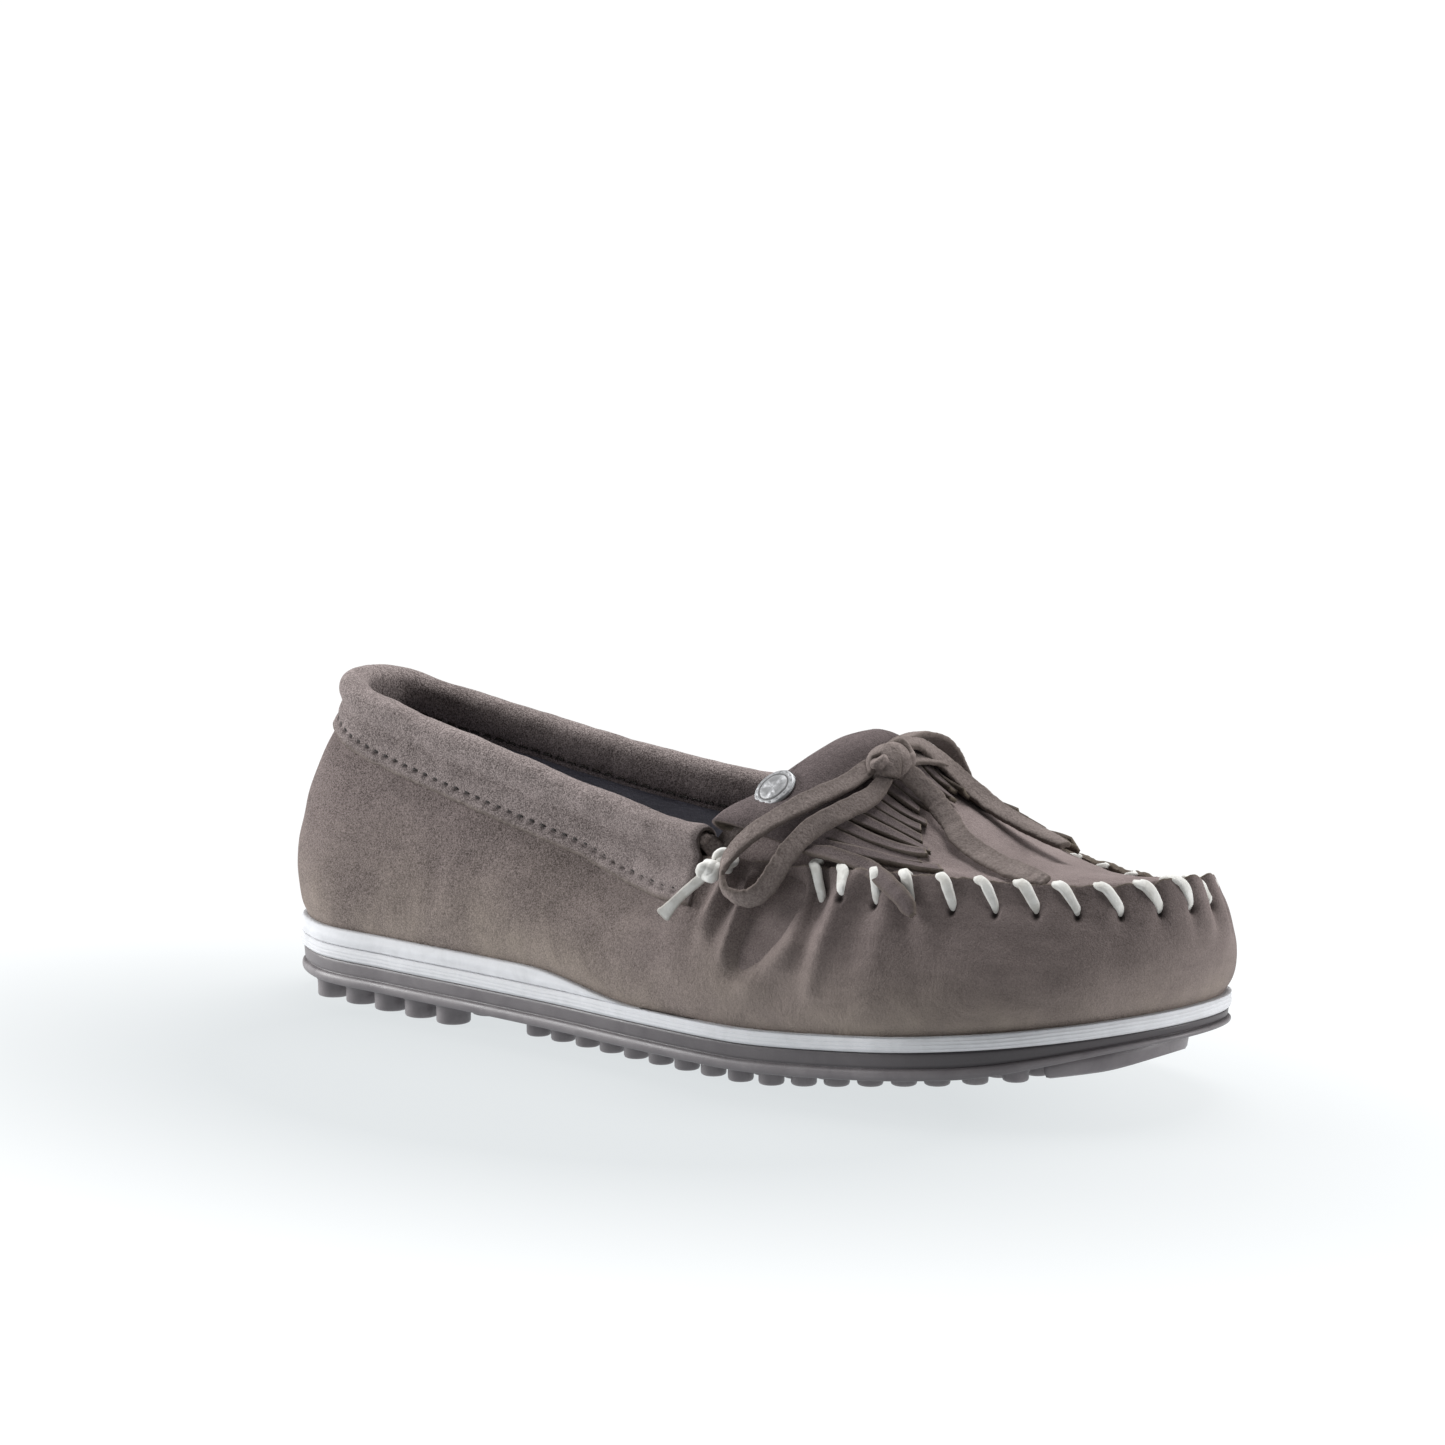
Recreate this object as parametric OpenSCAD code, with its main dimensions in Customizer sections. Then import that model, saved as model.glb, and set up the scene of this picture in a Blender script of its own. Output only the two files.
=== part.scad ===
// Women's moccasin, right shoe: suede wrap and toe plug laced together, fringed kiltie
// with a tied lace, rolled collar, and a foam midsole on a studded rubber outsole.
// +X points to the toe, +Z up, and the lateral (little toe) side is towards -Y.
// The shape functions work with x = 0 at the back of the outsole; place() moves the
// result so that the middle of the shoe's box is at x = y = 0, with the studs on z = 0.

/* [Sole] */
// Length of the outsole
sole_length = 252; // [235:1:270]
// Greatest width of the outsole, across the ball
sole_width = 88; // [82:1:94]
// Height of the rubber studs
stud_height = 4.9; // [3.5:0.1:6]
// Thickness of the outsole plate
outsole_thick = 6.3; // [5:0.1:8]
// Thickness of the white midsole strip
midsole_thick = 3.4; // [3:0.1:5]
// Thickness of the white wedge under the heel
wedge_thick = 4.2; // [3:0.1:7]
// Rise of the underside from the ball to the toe
toe_spring = 9.2; // [8:0.1:13]
// Diameter of a stud under the heel
heel_stud_d = 8.2; // [7:0.1:9]
// Diameter of a stud under the forefoot
fore_stud_d = 5.8; // [5:0.1:6.5]

/* [Upper] */
// Height of the wall at the back of the heel
heel_wall_top = 71; // [68:1:76]
// Thickness of the suede
leather = 1.3; // [1:0.1:1.5]
// Outside radius of the rolled collar
roll_r = 3.7; // [3.5:0.1:4.2]
// Length of one topstitch of the collar
topstitch = 1.7; // [1.2:0.1:2]
// Distance from topstitch to topstitch
topstitch_pitch = 3.7; // [2.6:0.1:4]
// Distance from whip stitch to whip stitch along the toe seam
whip_pitch = 8.7; // [8:0.1:10]
// Thickness of the white lacing
lacing_d = 2.4; // [2:0.1:2.8]

/* [Kiltie and bow] */
// Number of strips in the fringe
strips = 22; // [12:2:22]
// Width of the flat suede lace
lace_w = 4.8; // [4:0.1:5.5]
// Thickness of the flat suede lace
lace_t = 1.4; // [1.2:0.1:1.6]
// Diameter of the metal button
button_d = 10.5; // [9:0.5:12]

/* [Hidden] */

suede = [0.46, 0.42, 0.41];
suede_dark = [0.38, 0.34, 0.33];
lining_grey = [0.27, 0.26, 0.27];
rubber = [0.44, 0.43, 0.44];
white = [0.88, 0.88, 0.89];
metal = [0.65, 0.65, 0.66];
board = [0.70, 0.60, 0.48];

kx = sole_length/252;
ky = sole_width/88;
kz = heel_wall_top/71;
gap = 0.1;
mid_x = 126.7*kx;
mid_y = -0.1*ky;

// Stations round the shoe, from the back of the heel along the lateral side to the toe and
// back along the medial side: the sole's outline x and y, the top edge of the wall x, y
// and z, and how far the wall swells out between them.
STATIONS = [
    [0, 0, 12, 0, 71.4, 7],
    [4.5, -17, 14, -9, 71.3, 7],
    [19, -28, 23, -15.5, 69, 6],
    [46, -32, 48, -20, 64, 5],
    [75, -34.5, 76, -22.5, 58.5, 4.5],
    [104, -37.5, 106, -25, 53, 4],
    [132, -41.5, 134, -30, 49.5, 5],
    [158, -44, 158, -32.5, 49.5, 5.5],
    [184, -43, 182, -31.5, 50, 5.5],
    [208, -40.5, 204, -29, 50.5, 5],
    [228, -32.5, 222, -22.5, 50, 5.5],
    [243, -18.5, 239, -12.5, 49.8, 5.7],
    [251.5, 0, 249, 1, 50.4, 4.8],
    [250.5, 17.5, 249.2, 13, 49.4, 4.6],
    [241, 32, 238.5, 23.5, 45.4, 5],
    [222, 41, 219, 30, 45, 5],
    [196, 44, 196, 33, 47.3, 5],
    [168, 40.5, 170, 32.5, 50, 5],
    [140, 33.5, 142, 29.5, 50.5, 5],
    [112, 28.5, 112, 24.5, 52.5, 5],
    [84, 27.5, 84, 21.5, 56, 5],
    [52, 29.5, 52, 19, 61.5, 5],
    [24, 28, 25, 15.5, 66.5, 6],
    [5.5, 17.5, 14.3, 9.5, 70.3, 7]];
TURNS = len(STATIONS);
TOE = TURNS/2;

// Stations where the collar ends at the throat, on both sides
THROAT_OUTER = 6.38;
THROAT_INNER = -5.95;

// ---------- general functions ----------
function unit(v) = v/norm(v);
function mix(a, b, t) = a + (b - a)*t;
function smooth(t) = let(c = max(0, min(1, t))) c*c*(3 - 2*c);
function steps(a, b, n) = [for (i = [0:n]) mix(a, b, i/n)];
function bezier(a, b, c, d, t) =
    (1 - t)^3*a + 3*(1 - t)^2*t*b + 3*(1 - t)*t^2*c + t^3*d;

// Catmull-Rom curve with chord-length spacing; the chord is taken in plan.
function chord(a, b) = norm([b[0] - a[0], b[1] - a[1]]);
function slope(a, b, c) = let(d0 = chord(a, b), d1 = chord(b, c))
    ((c - b)/d1*d0 + (b - a)/d0*d1)/(d0 + d1);
function hermite(a, b, ma, mb, t) =
    (1 + 2*t)*(1 - t)^2*a + t*(1 - t)^2*ma + t^2*(3 - 2*t)*b + t^2*(t - 1)*mb;
function entry(list, i) = list[(i + 2*len(list)) % len(list)];
function around(list, s) = let(
    i = floor(s),
    a = entry(list, i),
    b = entry(list, i + 1),
    h = chord(a, b))
    hermite(a, b, h*slope(entry(list, i - 1), a, b), h*slope(a, b, entry(list, i + 2)), s - i);

// Smooth open curve through a cord's route points
function route_at(r, s) = let(
    i = min(floor(s), len(r) - 2),
    a = r[max(i - 1, 0)],
    b = r[i],
    c = r[i + 1],
    d = r[min(i + 2, len(r) - 1)])
    hermite(b, c, (c - a)/2, (d - b)/2, s - i);

// ---------- sole levels ----------
ball_x = 160*kx;
function rise(x) = toe_spring*max(0, (x - ball_x)/(sole_length - ball_x))^1.5;
function plate_top(x) = stud_height + rise(x) + outsole_thick;

// The plate gets thinner at the tip, and the tread rises sooner than the plate does, so the
// front studs are shorter.
tip_thinning = 3;
function plate_bottom(x) = stud_height + rise(x) + tip_thinning*smooth((x - 216*kx)/(36*kx));
tread_rise = 1.25;
function tread(x) = tread_rise*toe_spring*max(0, (x - ball_x)/(sole_length - ball_x))^1.15;
function strip_top(x) = plate_top(x) + midsole_thick;
function sole_top(x) = strip_top(x) + wedge_thick*(1 - smooth((x - 92*kx)/(40*kx)));

// ---------- shape of the upper ----------
function station(s) = around(STATIONS, s);
function outline(s) = let(p = station(s)) [p[0]*kx, p[1]*ky];
function outward(s) = let(t = unit(outline(s + 0.05) - outline(s - 0.05))) [t[1], -t[0], 0];

// Point of the wall's outer face: s goes round the shoe, v from the sole (0) to the top (1)
foot_inset = 1.2;
function wall(s, v) = let(
    p = station(s),
    n = outward(s),
    foot = [p[0]*kx, p[1]*ky, sole_top(p[0]*kx)] - foot_inset*n,
    top = [p[2]*kx, p[3]*ky, p[4]*kz],
    h = top[2] - foot[2])
    bezier(foot, foot + p[5]*n + [0, 0, 0.35*h], top + 1.1*p[5]*n - [0, 0, 0.3*h], top, v);
function wall_normal(s, v) = let(e = 0.02)
    unit(cross(wall(s + e, v) - wall(s - e, v), wall(s, v + e) - wall(s, v - e)));
function skin(s, v, d) = wall(s, v) + d*wall_normal(s, v);

// Point of the toe plug's outer face: s from the throat (6) to the toe (12), p from the
// lateral seam (-1) to the medial seam (1)
CROWN = [[6, 20.5], [6.9, 23.2], [7.1, 24.8], [7.3, 22.8], [7.6, 17.5], [7.9, 13.5], [8.2, 10.3],
    [8.6, 6.5], [9, 4.5], [9.5, 3.6], [10.5, 3], [12, 1.5]];
seam_inset = 1.7;
function plug_face(p, s) = let(
    a = skin(s, 1, -seam_inset),
    b = skin(TURNS - s, 1, -seam_inset),
    lift = kz*lookup(s, CROWN)*(1 - abs(p)^1.9))
    mix(a, b, (p + 1)/2) + [0, 0, lift];
function plug_normal(p, s) = let(e = 0.02)
    unit(cross(plug_face(p, s + e) - plug_face(p, s - e), plug_face(p + e, s) - plug_face(p - e, s)));
function over_plug(p, s, d) = plug_face(p, s) + d*plug_normal(p, s);

// The throat's edge and the fringe's ends, as stations across the plug
function throat(p) = 7.05 - 0.7*abs(p)^1.6;
function fringe_end(p) = 7.88 + (p < 0 ? 1.25 : 0.7)*abs(p)^1.6;

// ---------- solids from points ----------
// Both modules take grids of points; every cell of a grid becomes two triangles.
function quad(a, b, c, d) = [[a, b, c], [a, c, d]];

// A closed solid from a stack of rings. Its two ends are closed by strips across the ring.
module stack(rings) {
    n = len(rings[0]);
    last = (len(rings) - 1)*n;
    side = [for (i = [0:len(rings) - 2], j = [0:n - 1])
        each quad(i*n + j, (i + 1)*n + j, (i + 1)*n + (j + 1) % n, i*n + (j + 1) % n)];
    low = [for (j = [0:n/2 - 1])
        each quad((n - j) % n, j, j + 1, n - j - 1)];
    high = [for (f = low) [for (k = [2:-1:0]) f[k] + last]];
    solid([for (r = rings) each r], concat(side, low, high));
}

// A sheet between an outer and an inner grid of points; present(i, j) says which cells exist
module sheet(outer, inner, present = function(i, j) true) {
    n = len(outer);
    m = len(outer[0]);
    there = function(i, j) i >= 0 && j >= 0 && i < n - 1 && j < m - 1 && present(i, j);
    o = function(i, j) i*m + j;
    q = function(i, j) n*m + i*m + j;
    faces = [for (i = [0:n - 2], j = [0:m - 2]) if (there(i, j)) each concat(
        quad(o(i, j), o(i + 1, j), o(i + 1, j + 1), o(i, j + 1)),
        quad(q(i, j), q(i, j + 1), q(i + 1, j + 1), q(i + 1, j)),
        there(i - 1, j) ? [] : quad(o(i, j), o(i, j + 1), q(i, j + 1), q(i, j)),
        there(i + 1, j) ? [] : quad(o(i + 1, j + 1), o(i + 1, j), q(i + 1, j), q(i + 1, j + 1)),
        there(i, j - 1) ? [] : quad(o(i + 1, j), o(i, j), q(i, j), q(i + 1, j)),
        there(i, j + 1) ? [] : quad(o(i, j + 1), o(i + 1, j + 1), q(i + 1, j + 1), q(i, j + 1)))];
    solid([for (r = concat(outer, inner)) each r], faces);
}

// A closed ring solid swept along sections; each section is a closed loop of points
module sweep(sections) {
    n = len(sections[0]);
    last = (len(sections) - 1)*n;
    side = [for (i = [0:len(sections) - 2], j = [0:n - 1])
        each quad(i*n + j, i*n + (j + 1) % n, (i + 1)*n + (j + 1) % n, (i + 1)*n + j)];
    ends = [for (k = [1:n - 2]) each [[0, k + 1, k], [last, last + k, last + k + 1]]];
    solid([for (r = sections) each r], concat(side, ends));
}

// Drops the triangles that have no area before the solid is made
module solid(points, faces) {
    polyhedron(points = points, faces = [for (f = faces) if (
        norm(points[f[0]] - points[f[1]]) > 0.001 &&
        norm(points[f[1]] - points[f[2]]) > 0.001 &&
        norm(points[f[2]] - points[f[0]]) > 0.001) f], convexity = 8);
}

module place() {
    translate([-mid_x, -mid_y, 0]) children();
}

// ---------- sole ----------
ROUND = steps(0, TURNS - 0.5, 2*TURNS - 1);

// Ring of the sole's outline at a height that depends on x, moved outwards by grow
function ring(level, grow, lift) = [for (s = ROUND)
    let(q = outline(s), n = outward(s)) [q[0], q[1], level(q[0]) + lift] + grow*n];

module stud(x, y, d) {
    translate([x, y, tread(x)]) cylinder(h = plate_bottom(x) + 1 - tread(x), d = d, $fn = 24);
}

// Edges of the sole as tables of x and y, taken from the stations
LATERAL = [for (i = [0:TOE]) [STATIONS[i][0]*kx, STATIONS[i][1]*ky]];
MEDIAL = concat([LATERAL[0]],
    [for (i = [TURNS - 1:-1:TOE]) [STATIONS[i][0]*kx, STATIONS[i][1]*ky]]);

// A row of studs across the sole at x; inset is from the sole's edge to the outer stud
module stud_row(x, inset, d, pitch) {
    low = lookup(x, LATERAL) + inset;
    high = lookup(x, MEDIAL) - inset;
    spaces = max(1, round((high - low)/pitch));
    for (j = [0:spaces]) stud(x, mix(low, high, j/spaces), d);
}

// Smooth pad under the toe: as deep as the studs at its back edge, and thinning to the tip
pad_start = 228*kx;
pad_inset = 8;
pad_rise = 2.5;
function pad_bottom(x) = tread(x) + pad_rise*smooth((x - pad_start - 8*kx)/(14*kx));
module toe_pad() intersection() {
    stack([ring(function(x) pad_bottom(x), -pad_inset - 1.5, 0),
        ring(function(x) pad_bottom(x), -pad_inset, 0.8),
        ring(function(x) plate_bottom(x), -pad_inset, 1)]);
    translate([pad_start, -sole_width, -10]) cube([sole_length, 2*sole_width, 60]);
}

module outsole() color(rubber) place() {
    stack([ring(function(x) plate_bottom(x), -1.6, 0),
        ring(function(x) plate_bottom(x), -0.3, 1.3),
        ring(function(x) plate_bottom(x), 0, 2.6),
        ring(function(x) plate_top(x), 0, 0)]);
    for (x = [20:11:70]) stud_row(x*kx, 6, heel_stud_d, heel_stud_d + 3);
    for (x = [89:8.3:222]) stud_row(x*kx, 10.5 + 3*smooth((x - 148)/50), fore_stud_d, fore_stud_d + 3);
    toe_pad();
}

module midsole() color(white) place()
    stack([ring(function(x) plate_top(x), -0.2, gap), ring(function(x) plate_top(x), 0, 0.6),
        ring(function(x) strip_top(x), 0, -0.6), ring(function(x) strip_top(x), -0.4, 0)]);

// The wedge thins out to nothing at the arch, so it stops where it is 0.4 mm thick.
wedge_end = 122*kx;
module heel_wedge() color(white) place() intersection() {
    stack([ring(function(x) strip_top(x), -0.4, gap), ring(function(x) strip_top(x), 0, 0.6),
        ring(function(x) max(sole_top(x), strip_top(x) + 0.9), 0, -0.3),
        ring(function(x) max(sole_top(x), strip_top(x) + 0.9), -0.4, 0)]);
    translate([-10, -sole_width, 0]) cube([wedge_end + 10, 2*sole_width, 60]);
}

// ---------- upper ----------
WALL_LEVELS = [0, 0.08, 0.2, 0.35, 0.5, 0.65, 0.8, 0.91, 1];
seat_gap = 1;
module upper_wrap() color(suede) place() {
    outer = [for (v = WALL_LEVELS) [for (s = ROUND) skin(s, v, 0) + [0, 0, v == 0 ? seat_gap : 0]]];
    inner = [for (v = [1, 0.91, 0.8, 0.65, 0.5, 0.35, 0.2, 0.12])
        [for (s = ROUND) skin(s, v, -leather)]];
    floor_ring = [for (s = ROUND) skin(s, 0, -leather) + [0, 0, seat_gap + leather]];
    stack(concat(outer, inner, [floor_ring]));
}

// A layer inside the wall between two stations and two levels
module layer(s0, s1, cols, v0, v1, rows, depth, thick) {
    grid = function(d) [for (v = steps(v0, v1, rows)) [for (s = steps(s0, s1, cols)) skin(s, v, -d)]];
    sheet(grid(depth), grid(depth + thick));
}
counter_t = 1.2;
lining_t = 0.8;
lining_depth = leather + counter_t + 2*gap;
module heel_counter() color(board) place()
    layer(-3.4, 3.4, 20, 0.16, 0.8, 5, leather + gap, counter_t);
module quarter_lining() color(lining_grey) place()
    layer(THROAT_INNER + 0.1, THROAT_OUTER - 0.1, 36, 0.2, 0.98, 6, lining_depth, lining_t);

// A slab lying on the sole inside the upper, from one height above the sole to another
module insert(edge, low, high) {
    stack([ring(function(x) sole_top(x), -edge, low), ring(function(x) sole_top(x), -edge, high)]);
}
board_low = seat_gap + leather + gap;
board_t = 1.5;
footbed_low = board_low + board_t + gap;
footbed_t = 3.6;
cover_low = footbed_low + footbed_t + gap;
cover_t = 0.8;
module insole_board() color(board) place() insert(5, board_low, board_low + board_t);
module footbed() color(lining_grey) place() insert(5.2, footbed_low, footbed_low + footbed_t);
module footbed_cover() color(lining_grey) place() insert(5.2, cover_low, cover_low + cover_t);

PLUG_COLUMNS = steps(-1, 1, 16);
PLUG_ROWS = 16;
module plug() color(suede) place() {
    grid = function(d) [for (k = [0:PLUG_ROWS]) [for (p = PLUG_COLUMNS)
        over_plug(p, mix(throat(p), TOE - 0.25, k/PLUG_ROWS), d)]];
    sheet(grid(0), grid(-leather));
}

// ---------- collar ----------
COLLAR = steps(THROAT_INNER, THROAT_OUTER, 40);
roll_rise = 3.3;
roll_in = 1;
function roll_centre(s) = wall(s, 1) - roll_in*outward(s) + [0, 0, roll_rise];
function wall_height(s) = wall(s, 1)[2] - wall(s, 0)[2];
function leg_level(s, drop) = 1 - drop/(0.9*wall_height(s));
function outer_leg(s) = leg_level(s, lookup(abs(s), [[0, 4.5], [2.5, 8], [5, 8], [6, 10]]));
function inner_leg(s) = leg_level(s, 2);

// The front ends of the outer leg reach forwards at their lower edge.
front_reach = 0.1;
function reach(s, v) = sign(s)*front_reach*smooth(abs(s) - 5)*(0.985 - v)/(0.985 - outer_leg(s));
function roll_arc(s, r, a0, a1) = [for (a = steps(a0, a1, 8))
    roll_centre(s) + r*(cos(a)*outward(s) + [0, 0, sin(a)])];
function collar_line(s, r, d_out, d_in) = concat(
    [for (v = steps(outer_leg(s), 0.985, 2)) skin(s + reach(s, v), v, d_out)],
    roll_arc(s, r, -15, 195),
    [for (v = steps(0.985, inner_leg(s), 2)) skin(s, v, d_in)]);
collar_out = gap + leather;
collar_in = lining_depth + lining_t + gap;
module collar_band() color(suede) place()
    sheet([for (s = COLLAR) collar_line(s, roll_r, collar_out, -collar_in - leather)],
        [for (s = COLLAR) collar_line(s, roll_r - leather, gap, -collar_in)]);

// Straight round bar from a to b
module bar(a, b, d) {
    v = b - a;
    translate(a) rotate([0, acos(v[2]/norm(v)), atan2(v[1], v[0])]) cylinder(h = norm(v), d = d, $fn = 16);
}

// Stations a fixed distance apart along a curve f(s)
function march(f, s, last, pitch) = s > last ? [] :
    concat([s], march(f, s + 0.1*pitch/norm(f(s + 0.1) - f(s)), last, pitch));
thread_d = 0.6;
stitch_above_edge = 2.6;
module collar_thread() color(suede_dark) place() {
    line = function(s) let(v = outer_leg(s) + stitch_above_edge/(0.9*wall_height(s)))
        skin(s + reach(s, v), v, collar_out + 0.15);
    for (s = march(line, THROAT_INNER + 0.15, THROAT_OUTER - 0.1, topstitch_pitch)) {
        dir = unit(line(s + 0.05) - line(s));
        bar(line(s), line(s) + topstitch*dir, thread_d);
    }
}

module lace_tunnel() color(suede_dark) place() tube([for (s = COLLAR) roll_centre(s)], 1.9, 8);

// Round tube of n sides through points
module tube(points, r, n) {
    k = len(points) - 1;
    sweep([for (i = [0:k]) let(
        dir = unit(points[min(i + 1, k)] - points[max(i - 1, 0)]),
        u = unit(cross(dir, [0.1, 0.2, 1])),
        w = cross(dir, u))
        [for (j = [0:n - 1]) points[i] + r*(cos(360*j/n)*u + sin(360*j/n)*w)]]);
}

// ---------- toe seam lacing ----------
// One lace winds round the ridge where the wrap and the plug meet.
whip_r = 3;
whip_sides = 6;
whip_steps = 8;
LACING_END = 6.8;
WHIP_START = LACING_END + 0.1;
WHIP_END = TURNS - WHIP_START;
function ridge(s) = wall(s, 1) - 1.2*outward(s) - [0, 0, 1.6];
module toe_lacing() color(white) place() {
    turns = march(function(s) ridge(s), WHIP_START, WHIP_END, whip_pitch);
    path = [for (i = [0:len(turns) - 2], k = [0:whip_steps - 1])
        let(s = mix(turns[i], turns[i + 1], k/whip_steps), a = 120 - 360*k/whip_steps)
        ridge(s) + whip_r*(cos(a)*outward(s) + [0, 0, sin(a)])];
    tube(path, lacing_d/2, whip_sides);
}

// The lace ends in two knots and a short tail on each side of the throat. side is -1 on
// the lateral side and 1 on the medial side.
module lacing_end(s, side) {
    knot_1 = skin(s, 0.97, 3.2);
    knot_2 = knot_1 + [-1, 4*side, -2.2];
    translate(knot_1) sphere(d = 5.4, $fn = 24);
    translate(knot_2) sphere(d = 5.8, $fn = 24);
    bar(knot_2, knot_1 + [-11.5, 7.5*side, -12.6], lacing_d);
}
module lacing_knot_outer() color(white) place() lacing_end(LACING_END, -1);
module lacing_knot_inner() color(white) place() lacing_end(TURNS - LACING_END, 1);

// ---------- kiltie ----------
lead_space = lace_t + 2*gap;
fold_r = (leather + lead_space)/2 + leather + gap/2;
fold_mid = (lead_space - leather)/2;
kiltie_top = fold_mid + fold_r;
mm_per_station = 25*kx;
kiltie_edge = 0.9;
fringe_gap = 0.12;
band_rows = 4;
fringe_rows = 4;
KILTIE_COLUMNS = [for (i = [0:strips - 1], e = [0, 1 - fringe_gap]) mix(-1, 1, (i + e)/strips)*kiltie_edge];

// One line across the kiltie's section: the turned-under edge, the fold and the top
function kiltie_line(p, r, under, start, end) = concat(
    [over_plug(p, throat(p) + 0.3, under)],
    [for (a = steps(-90, 90, 5)) over_plug(p, throat(p) - r*cos(a)/mm_per_station, fold_mid + r*sin(a))],
    [for (k = [1:band_rows + fringe_rows]) let(t = k/(band_rows + fringe_rows))
        over_plug(p, mix(throat(p), fringe_end(p), t), mix(start, end, smooth(t)))]);
module kiltie() color(suede) place() {
    outer = [for (p = KILTIE_COLUMNS)
        kiltie_line(p, fold_r, fold_mid - fold_r, kiltie_top, gap + leather)];
    inner = [for (p = KILTIE_COLUMNS)
        kiltie_line(p, fold_r - leather, fold_mid - fold_r + leather, kiltie_top - leather, gap)];
    cut = len(outer[0]) - 1 - fringe_rows;
    sheet(outer, inner, function(i, j) j < cut || i % 2 == 0);
}

// ---------- button ----------
BUTTON_AT = [-0.64, 6.86];
module on_kiltie(at, d) {
    n = plug_normal(at[0], at[1]);
    translate(over_plug(at[0], at[1], d)) rotate([0, acos(n[2]), atan2(n[1], n[0])]) children();
}
button_t = 1.6;
module button() color(metal) place() on_kiltie(BUTTON_AT, kiltie_top + gap)
    rotate_extrude($fn = 48) polygon([[0, 0], [button_d/2 - 0.4, 0], [button_d/2, 0.4],
        [button_d/2, 0.9], [button_d/2 - 0.5, 1.3], [1.5, button_t], [0, button_t]]);
module button_rivet() color(metal) place() on_kiltie(BUTTON_AT, -leather - 0.6) {
    cylinder(h = kiltie_top + leather + 0.6 + gap, d = 2.4, $fn = 24);
    cylinder(h = 0.5, d = 6, $fn = 32);
}

// ---------- the flat lace ----------
// Ribbon with chamfered corners through points; face(i) is the direction its flat side looks
module ribbon(points, face, w, t) {
    k = len(points) - 1;
    c = t/3;
    profile = [[w/2, t/2 - c], [w/2 - c, t/2], [-w/2 + c, t/2], [-w/2, t/2 - c],
        [-w/2, -t/2 + c], [-w/2 + c, -t/2], [w/2 - c, -t/2], [w/2, -t/2 + c]];
    sweep([for (i = [0:k]) let(
        dir = unit(points[min(i + 1, k)] - points[max(i - 1, 0)]),
        across = unit(cross(dir, face(i))),
        up = cross(across, dir))
        [for (q = profile) points[i] + q[0]*across + q[1]*up]]);
}

// The lace leaves the roll, dips under the kiltie and comes up through it beside the knot.
module lead(side) {
    route = [for (t = steps(0, 1, 8)) [side*mix(0.97, 0.18, t), 6.5 + 1.1*smooth(t)]];
    ribbon([for (q = route) over_plug(q[0], q[1], gap + lace_t/2)],
        function(i) plug_normal(route[i][0], route[i][1]), lace_w, lace_t);
}
module lace_lead_outer() color(suede_dark) place() lead(-1);
module lace_lead_inner() color(suede_dark) place() lead(1);

// The bow: two loops and two tails of the lace, from the knot and, for the loops, back to it
KNOT = [177.5, -7.5, 70.8];
LOOP_OUTER = [[176.5, -8.5, 71], [174.5, -11, 69.8], [172.5, -17, 66.8], [168.5, -24, 63.8],
    [163.5, -30, 60], [159, -35, 55.8], [156, -38.5, 51], [156, -40.5, 47], [159, -42, 44],
    [164, -41.5, 43.3], [167.5, -40, 45.8], [169, -37, 50.2], [170, -33.5, 54.2],
    [172, -28.5, 58.3], [175.5, -23, 61.4], [178.5, -16, 64.3], [178.5, -11, 67.6]];
LOOP_INNER = [[176, -5, 72.5], [174.5, 0, 74.2], [174, 6, 75], [173.5, 12, 74.2],
    [173, 18, 72.2], [172, 23, 68.8], [170.5, 28, 64.5], [169.5, 32.5, 59.5], [170, 36, 54.5],
    [172.5, 38.5, 50.5], [176, 38.5, 49.5], [179, 36, 52], [180, 31.5, 55.5], [180, 26.5, 59.5],
    [180, 21, 63], [180, 15, 66.2], [180, 9, 69], [179, 3, 70.5], [178.5, -3, 70.8]];
TAIL_OUTER = [[179, -7.5, 70.3], [181.5, -6.5, 68.6], [184.5, -6, 66.4], [188.5, -6, 63.4],
    [191.5, -7, 61], [194.5, -8, 59.2], [199, -11, 56.8], [206, -13.5, 54.4], [214.5, -16.5, 52.8],
    [222.5, -18.2, 51.8], [226.8, -18.6, 51.2]];
TAIL_INNER = [[177, -5, 72.8], [176.5, -1.5, 74.2], [177.4, 3, 73.8], [179.2, 6.4, 71.2],
    [181.6, 8.6, 68.4], [184.6, 9.8, 65.6], [188.6, 10.2, 62.7], [194, 10, 59.9],
    [200.5, 9.8, 57.4], [207, 9.2, 55.6], [214, 7.2, 54.2]];
knot_d = 8.4;
loop_rings = 20;
tail_rings = 14;

function on_shoe(points) = [for (q = points) [q[0]*kx, q[1]*ky, q[2]*kz]];
function spread(points, n) = [for (i = [0:n]) route_at(points, (len(points) - 1)*i/n)];
function middle(points) = points*[for (q = points) 1]/len(points);
function centre_of(points) = [for (axis = [0:2]) middle([for (q = points) q[axis]])];

// A loop's flat side looks away from the loop's middle and a little away from the shoe.
module loop(points, side) {
    route = spread(on_shoe(points), loop_rings);
    heart = centre_of(route);
    ribbon(route, function(i) unit(route[i] - heart) + [0, 0.6*side, 0.4], lace_w, lace_t);
}
module tail(points) {
    ribbon(spread(on_shoe(points), tail_rings), function(i) [0.45, 0, 1], lace_w, lace_t);
}
module bow_knot() color(suede_dark) place() translate(on_shoe([KNOT])[0]) sphere(d = knot_d, $fn = 32);
module bow_loop_outer() color(suede_dark) place() loop(LOOP_OUTER, -1);
module bow_loop_inner() color(suede_dark) place() loop(LOOP_INNER, 1);
module bow_tail_outer() color(suede_dark) place() tail(TAIL_OUTER);
module bow_tail_inner() color(suede_dark) place() tail(TAIL_INNER);

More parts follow.
